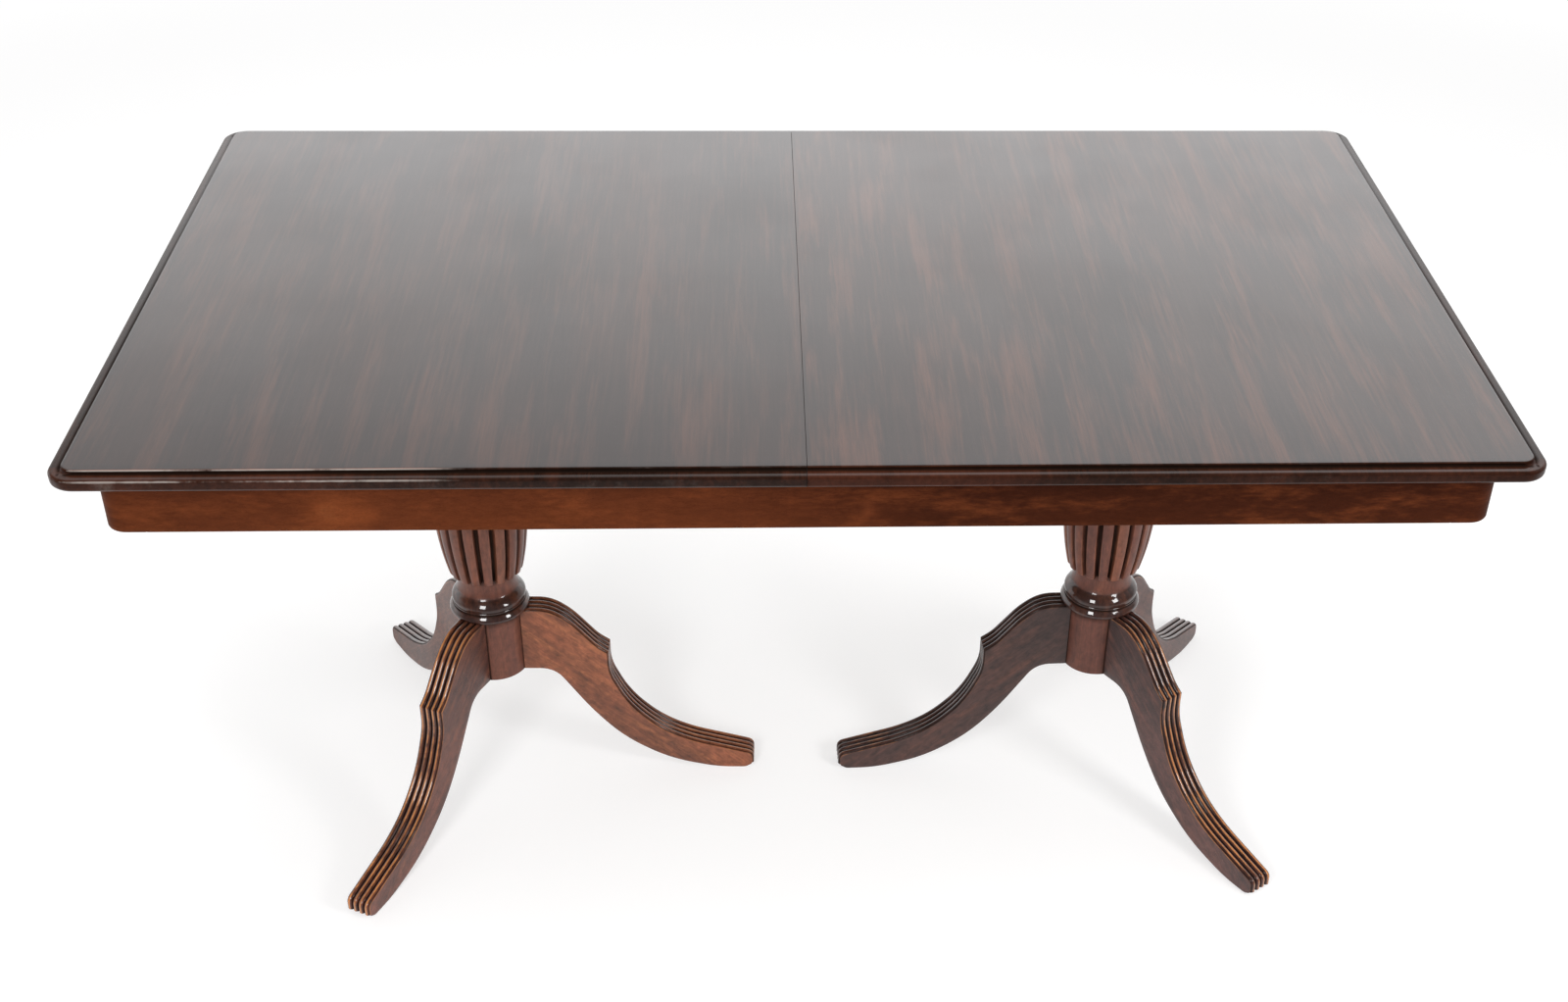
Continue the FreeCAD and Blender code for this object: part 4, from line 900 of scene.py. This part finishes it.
def urn_radius_at(share):
    """The urn's outline through its named points, by a smooth curve."""
    known = np.array(URN_SWELL)
    slopes = np.gradient(known[:, 1], known[:, 0])
    k = int(np.clip(np.searchsorted(known[:, 0], share, side="right") - 1, 0, len(known) - 2))
    width = known[k + 1, 0] - known[k, 0]
    t = (share - known[k, 0]) / width
    return URN_RADIUS * ((2 * t**3 - 3 * t**2 + 1) * known[k, 1] + (t**3 - 2 * t**2 + t) * width * slopes[k]
                         + (3 * t**2 - 2 * t**3) * known[k + 1, 1] + (t**3 - t**2) * width * slopes[k + 1])


turns = np.arange(AROUND) / AROUND * 2 * math.pi
off_crest = np.abs(((turns / (2 * math.pi) * REEDS + 0.5) % 1) - 0.5)
groove = smooth_step((off_crest - REED_FLAT_SHARE) / (GROOVE_WALL_SHARE - REED_FLAT_SHARE))
reed_crown = 1 - 0.014 * (off_crest / REED_FLAT_SHARE).clip(0, 1) ** 2
reed_number = np.round(turns / (2 * math.pi) * REEDS) % REEDS


def reeded_radius(share):
    """The radius round the urn; the grooves run out at the neck, which leaves the reeds' ends as teeth."""
    depth = GROOVE_SHARE * 1.2 * (1 + 1.1 * (1 - smooth_step(share / 0.2)))
    return urn_radius_at(share) * reed_crown * (1 - depth * groove)


# %% Build both columns
def plain_rings(turning):
    return [(np.full(AROUND, radius * MM), height * MM, 0 * groove, 0 * groove)
            for radius, height in turning]


def column_rings():
    """Rings of radii with a height, a hollow mask and a rubbed mask for each."""
    rings = plain_rings(LOWER_TURNING)
    for z, scale in [(URN_LOW, 0.97), (URN_LOW + 1.2 * MM, 1.0)]:
        rings.append((reeded_radius(0) * scale, z, groove, 0.5 * (1 - groove)))
    worn = smooth_step((off_crest - 0.2) / 0.13) * (1 - smooth_step((off_crest - 0.33) / 0.05))
    for share in np.linspace(0.02, 1, URN_ROWS):
        rings.append((reeded_radius(share), URN_LOW + share * (URN_HIGH - URN_LOW), groove, 0.6 * worn))
    return rings + plain_rings(UPPER_TURNING)


def column_hollow(side, z, hollow, around):
    """Grooves and lines between the rings, painted dark as grime and shade, and joint lines by each leg."""
    for low, high, amount in DARK_BANDS:
        hollow = np.maximum(hollow, amount * ((z > low) & (z < high)))
    for bearing in LEG_BEARINGS[side].values():
        away = np.abs((around - bearing + 180) % 360 - 180)
        joint = np.exp(-((away - LEG_JOINT) / 1.6) ** 2) + 0.35 * np.exp(-((away - LEG_JOINT) / 6) ** 2)
        hollow = np.maximum(hollow, np.where(z < 275, 0.9 * joint, 0).clip(0, 1))
    return hollow


def column(side):
    radii, heights, hollow, rubbed_and_glint = zip(*column_rings())
    points = np.concatenate([np.column_stack([
        COLUMN_X[side] + np.maximum(radius, 0.05 * MM) * np.cos(turns),
        np.maximum(radius, 0.05 * MM) * np.sin(turns), np.full(AROUND, height)])
        for radius, height in zip(radii, heights)])
    z = points[:, 2] / MM
    hollow = column_hollow(side, z, np.concatenate(hollow), np.degrees(np.tile(turns, len(radii))))
    shift, tone = (1.0, 0.1) if side == "left" else (4.0, -0.15)
    grain = np.column_stack([points[:, 2] + shift, points[:, 0] + shift, points[:, 1]])
    gloss_and_dark_reflection = (smooth_step((z - GLOSS_START) / GLOSS_FADES[0])
              * (1 - smooth_step((z - GLOSS_END) / GLOSS_FADES[1])))
    reed_tone = 0.3 * np.sin(2.4 * reed_number + 3 * shift) + 0.2 * np.sin(5.1 * reed_number)
    # Painted dark reflection: the glossy ring and cup are painted much darker
    tone = tone - 1.1 * gloss_and_dark_reflection + (0.3 + np.tile(reed_tone, len(radii))) * (z > URN_LOW / MM)
    masks = {"rubbed_and_glint": np.concatenate(rubbed_and_glint), "hollow": hollow, "shine": gloss_and_dark_reflection, "tone": tone}
    return piece(f"pedestal_turned_{side}", points, closed_tube(len(radii), AROUND), [column_finish],
                 "frame", f"pedestal_column_{side}", grain, masks, sharp=34)


for side in COLUMN_X:
    column(side)

# %% [markdown]
# ## The sabre legs
# A leg is sawn from a thick board to a curved outline, and four reeds are planed along its upper
# face, over the knee and down to the toe. The code follows two lines in the leg's side view, one along
# the crests and one along the underside, and joins them at each step by a cross-section: four round
# reeds on top, two flat sides and a slightly eased bottom edge.

# %% Draw a leg's side view
LEG_THICK, LEG_REEDS, REED_DEPTH = 35 * MM, 4, 4 * MM
LEG_REACH, LEG_TOP, HUB_FLAT, HUB_FOOT = 354 * MM, 275 * MM, 41.46 * MM, 176 * MM
BEND, ROOT_BEND = 13 * MM, 21 * MM
UPPER_SHARES = [(0, 1), (0.121, 1), (0.209, 0.933), (0.324, 0.775), (0.37, 0.738)]
LOWER_SHARES = [(0.37, 0.738), (0.37, 0.613), (0.449, 0.4145), (0.58, 0.265), (0.71, 0.186),
                (1, 0.094), (1, 0.029)]
UNDER_SHARES = [(1, 0.029), (0.9616, 0), (0.837, 0), (0.6205, 0.056), (0.4234, 0.196),
                (0.2896, 0.366)]
ROOT_SHARE = 0.13
UPPER_SECTIONS, LOWER_SECTIONS = 34, 84
# Where on the underside the knee and the toe have their partners, and how the rest is spread
KNEE_SHARE, TOE_PARTNER, SPREAD = 0.27, 0.985, 0.93


def side_point(shares):
    return np.array([HUB_FLAT + shares[0] * (LEG_REACH - HUB_FLAT), shares[1] * LEG_TOP])


def eased(corners, limits, steps=10):
    """Straight runs with their corners rounded by arcs, as a dense line of points."""
    line = [corners[0]]
    for before, corner, after, limit in zip(corners, corners[1:], corners[2:], limits):
        back = min(np.linalg.norm(corner - before), np.linalg.norm(after - corner)) * 0.49
        back = min(back, limit) if limit else back
        first = corner + (before - corner) / np.linalg.norm(before - corner) * back
        last = corner + (after - corner) / np.linalg.norm(after - corner) * back
        for t in np.linspace(0, 1, steps):
            line.append((1 - t) ** 2 * first + 2 * t * (1 - t) * corner + t**2 * last)
    line.append(corners[-1])
    return np.array(line)


def lengths_along(line):
    return np.concatenate([[0], np.cumsum(np.linalg.norm(np.diff(line, axis=0), axis=1))])


def points_at(at, known, line):
    return np.column_stack([np.interp(at, known, line[:, k]) for k in (0, 1)])


def divided(line, count):
    """The same line as evenly spaced points, and the way outwards at each of them."""
    lengths = lengths_along(line)
    points = points_at(np.linspace(0, lengths[-1], count), lengths, line)
    along = np.gradient(points, axis=0)
    along /= np.linalg.norm(along, axis=1)[:, None]
    return points, np.column_stack([-along[:, 1], along[:, 0]])


upper_line = eased([side_point(s) for s in UPPER_SHARES], [0] * 5)
lower_line = eased([side_point(s) for s in LOWER_SHARES], [0, 0, 0, 0, BEND])
under_corners = [side_point(s) for s in UNDER_SHARES] + [
    np.array([side_point((ROOT_SHARE, 0))[0], HUB_FOOT]), np.array([HUB_FLAT, HUB_FOOT])]
under_line = eased(under_corners, [BEND / 4, 0, 0, 0, 0, ROOT_BEND])[::-1]
upper_crest, upper_way = divided(upper_line, UPPER_SECTIONS)
lower_crest, lower_way = divided(lower_line, LOWER_SECTIONS)
# The two runs meet at the knee in one mitred section, which makes its sharp scalloped lip
mitre = upper_way[-1] + lower_way[0]
mitre /= np.dot(mitre, upper_way[-1])
crest = np.concatenate([upper_crest[:-1], lower_crest])
outward = np.concatenate([upper_way[:-1], [mitre], lower_way[1:]])
print("leg side view:", len(crest), "sections")


# %% Build the six legs
def partner_points():
    """A point of the underside for each section; the knee and the toe are matched to given shares."""
    lengths = lengths_along(under_line)
    share = lengths / lengths[-1]
    knee_at = np.interp(KNEE_SHARE, (under_line[:, 0] - HUB_FLAT) / (LEG_REACH - HUB_FLAT), share)
    first = np.linspace(0, knee_at, UPPER_SECTIONS)[:-1]
    rest = np.linspace(0, 1, LOWER_SECTIONS)
    second = knee_at + (TOE_PARTNER - knee_at) * rest ** SPREAD
    return points_at(np.concatenate([first, second]), share, under_line)


def leg_section():
    """Across and down from the crest line for the reeded top."""
    across, drop = [], []
    pitch = LEG_THICK / LEG_REEDS
    for reed in range(LEG_REEDS):
        for t in np.linspace(-1, 1, 11)[(1 if reed else 0):]:
            across.append(-LEG_THICK / 2 + (reed + 0.5 + t / 2) * pitch)
            drop.append(REED_DEPTH * (1 - math.sqrt(max(0, 1 - (abs(t) * 0.98) ** 2))) ** 0.85)
    return np.array(across), np.array(drop)


ACROSS, DROP = leg_section()
UNDERSIDE = partner_points()

# How far the crests of each leg are rubbed, at the knee and at the toe, and how much less at the root
LEG_WEAR = {"left_inner": (0.35, 0.75, 0.4), "left_front": (0.85, 0.95, 0.85),
            "left_back": (0.2, 0.35, 0.4), "right_inner": (0.15, 0.6, 0.4),
            "right_front": (0.75, 0.9, 0.35), "right_back": (0.2, 0.35, 0.4)}
ROOT_LENGTH, BOTTOM_EASE = 60 * MM, 1.6 * MM
# The figure of the board runs along the leg, on a slope
FIGURE_SLOPE = math.radians(-40)
# Marks across the reeded top of a section: the crests, the two outer edges, and the grooves. The
# grooves are painted dark, partly grime and partly shade; the outer edges are rubbed pale, and that
# pale also paints the light line along them
crown = 1 - smooth_step(DROP / REED_DEPTH / 0.16)
edge = (np.abs(np.abs(ACROSS) - LEG_THICK / 2) < 0.2 * MM).astype(float)
groove_dark = smooth_step((DROP / REED_DEPTH - 0.1) / 0.38) * (1 - edge)


def leg_outline(place, out, foot):
    """One cross-section: the reeded top, a flank, the eased bottom and the other flank."""
    half = LEG_THICK / 2
    top = [(place[0] - out[0] * d, y, place[1] - out[1] * d) for y, d in zip(ACROSS, DROP)]
    up = place - out * REED_DEPTH - foot
    reach = np.linalg.norm(up)
    up = up / max(reach, 1e-6)
    ease = min(BOTTOM_EASE, reach / 3)
    arris = np.array([top[-1][0], top[-1][2]])
    flank = [arris + (foot - arris) * k for k in (0.03, 0.09)] + [foot + (arris - foot) * 0.12]
    bottom = [(x, half, z) for x, z in flank]
    bottom += [(foot[0] + up[0] * ease * k, y, foot[1] + up[1] * ease * k)
               for y, k in [(half, 1.0), (half - 0.3 * ease, 0.3), (half - ease, 0.0)]]
    return top + bottom + [(x, -y, z) for x, y, z in reversed(bottom)]


def leg_marks(wear_knee, wear_toe, spared, plain):
    """The rubbed and tone masks, section by section from the hub to the toe."""
    rubbed_and_glint, tones = [], []
    for place in crest:
        toe = smooth_step((place[0] - 0.6 * LEG_REACH) / (0.35 * LEG_REACH))
        root = 1 - smooth_step((place[0] - HUB_FLAT) / ROOT_LENGTH)
        worn = (wear_knee + (wear_toe - wear_knee) * toe) * (1 - spared * root)
        # The outer edges are painted pale, partly wear and partly a painted highlight
        rubbed_and_glint += [np.maximum(worn * crown, (0.25 + 0.65 * worn) * edge), plain]
        tones += [(0.3 * toe - 0.7) * (1 - edge), plain]
    return np.concatenate(rubbed_and_glint), np.concatenate(tones)


def leg(side, name, bearing, order):
    rows = [leg_outline(*section) for section in zip(crest, outward, UNDERSIDE)]
    plain = np.zeros(len(rows[0]) - len(ACROSS))
    rubbed_and_glint, tone = leg_marks(*LEG_WEAR[f"{side}_{name}"], plain)
    local = np.array(rows).reshape(-1, 3)
    out, across, up = local.T
    a = math.radians(bearing)
    points = np.column_stack([COLUMN_X[side] + out * math.cos(a) - across * math.sin(a),
                              out * math.sin(a) + across * math.cos(a), up])
    grain = np.column_stack([out * math.cos(FIGURE_SLOPE) + up * math.sin(FIGURE_SLOPE) + 2 * order,
                             -out * math.sin(FIGURE_SLOPE) + up * math.cos(FIGURE_SLOPE), across])
    # Painted shade: the wood darkens towards the hub, where the top shades it, over a short or a long way
    shaded = 35 * MM if f"{side}_{name}" == "left_inner" or name == "back" else 150 * MM
    painted_hub_shade = (1 - smooth_step((out - HUB_FLAT) / shaded)) * (1.5 if name == "front" else 1.0)
    masks = {"rubbed_and_glint": rubbed_and_glint, "hollow": np.tile(np.concatenate([groove_dark, plain]), len(rows)),
             "shine": np.tile(np.concatenate([np.where(edge > 0, 0.3, 1.0), plain]), len(rows)),
             "tone": np.minimum(tone, -0.5 * painted_hub_shade)}
    faces = [face[::-1] for face in closed_tube(len(rows), len(rows[0]))]
    return piece(f"leg_reeded_{side}_{name}", points, faces, [leg_finishes[f"{side}_{name}"]], "frame",
                 f"leg_{side}_{name}", grain, masks, sharp=42)


LEGS = [(side, name, bearing) for side, bearings in LEG_BEARINGS.items()
        for name, bearing in bearings.items()]
for order, (side, name, bearing) in enumerate(LEGS, 1):
    leg(side, name, bearing, order)

# %% [markdown]
# ## The hidden woodwork, brass and steel
# The rails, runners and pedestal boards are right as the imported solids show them, so they keep their
# meshes. They are plain hardwood that was never polished, only darkened by age. The catches, their
# pivots and keepers are dull brass, and the screws, plates and stop pins are dark steel.

# %% Mix the plain finishes
def plain_wood(name, turn):
    material, tree = fresh_material(name)
    place = lay(tree, "TexCoord").outputs["Object"]
    grain = lay(tree, "Mapping", {"Vector": place, "Rotation": turn}).outputs[0]
    wood = place_group(tree, figure, {"Vector": grain, "Dark": (0.16, 0.09, 0.045, 1),
                                      "Body": (0.36, 0.22, 0.12, 1), "Red": (0.5, 0.32, 0.18, 1),
                                      "Streaks": 0.6, "Clouds": 0.6})
    marks = place_group(tree, polish, {"Vector": place, "Least": 0.55, "Most": 0.8})
    bump = lay(tree, "Bump", {"Strength": 0.5, "Distance": 0.0005, "Height": wood["Height"]})
    shader = lay(tree, "BsdfPrincipled", {"Base Color": wood["Color"], "Roughness": marks["Roughness"],
                                          "Normal": bump.outputs[0], "Specular IOR Level": 0.35})
    lay(tree, "OutputMaterial", {"Surface": shader.outputs[0]})
    return material


def old_metal(name, bright, dull, roughness, scale):
    material, tree = fresh_material(name)
    place = lay(tree, "TexCoord").outputs["Object"]
    tarnish = lay(tree, "TexNoise", {"Vector": place, "Scale": scale, "Detail": 6.0, "Roughness": 0.7})
    spots = spread_range(tree, tarnish.outputs["Fac"], 0.38, 0.68)
    marks = place_group(tree, polish, {"Vector": place, "Least": roughness[0], "Most": roughness[1]})
    bump = lay(tree, "Bump", {"Strength": 0.3, "Distance": 0.0002, "Height": tarnish.outputs["Fac"]})
    colour = blend_colours(tree, spots, (*bright, 1), (*dull, 1))
    shader = lay(tree, "BsdfPrincipled", {"Metallic": 1.0, "Roughness": marks["Roughness"],
                                          "Base Color": colour,
                                          "Normal": bump.outputs[0]})
    lay(tree, "OutputMaterial", {"Surface": shader.outputs[0]})
    return material


ALONG_X, ALONG_Y = (0, 0, 0), (0, 0, math.radians(-90))
wood_along_x = plain_wood("plain_wood_along_x", ALONG_X)
wood_along_y = plain_wood("plain_wood_along_y", ALONG_Y)
brass = old_metal("dull_brass", (0.75, 0.55, 0.26), (0.35, 0.23, 0.1), (0.25, 0.5), 90)
steel = old_metal("dark_steel", (0.42, 0.41, 0.40), (0.16, 0.13, 0.11), (0.35, 0.6), 120)

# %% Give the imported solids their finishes
FINISH_BY_START = {"runner_screws": steel, "board_screws": steel, "tripod": steel, "stop_pins": steel,
                   "runner": wood_along_x, "cross_rail": wood_along_y, "pedestal_board": wood_along_y,
                   "seam_dowels": wood_along_x, "catch": brass}
for name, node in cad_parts.items():
    if node.hide_render:
        continue
    start = next(key for key in FINISH_BY_START if name.startswith(key))
    for slot in node.material_slots:
        slot.link = "OBJECT"
        slot.material = FINISH_BY_START[start]
    print(name, "->", FINISH_BY_START[start].name)
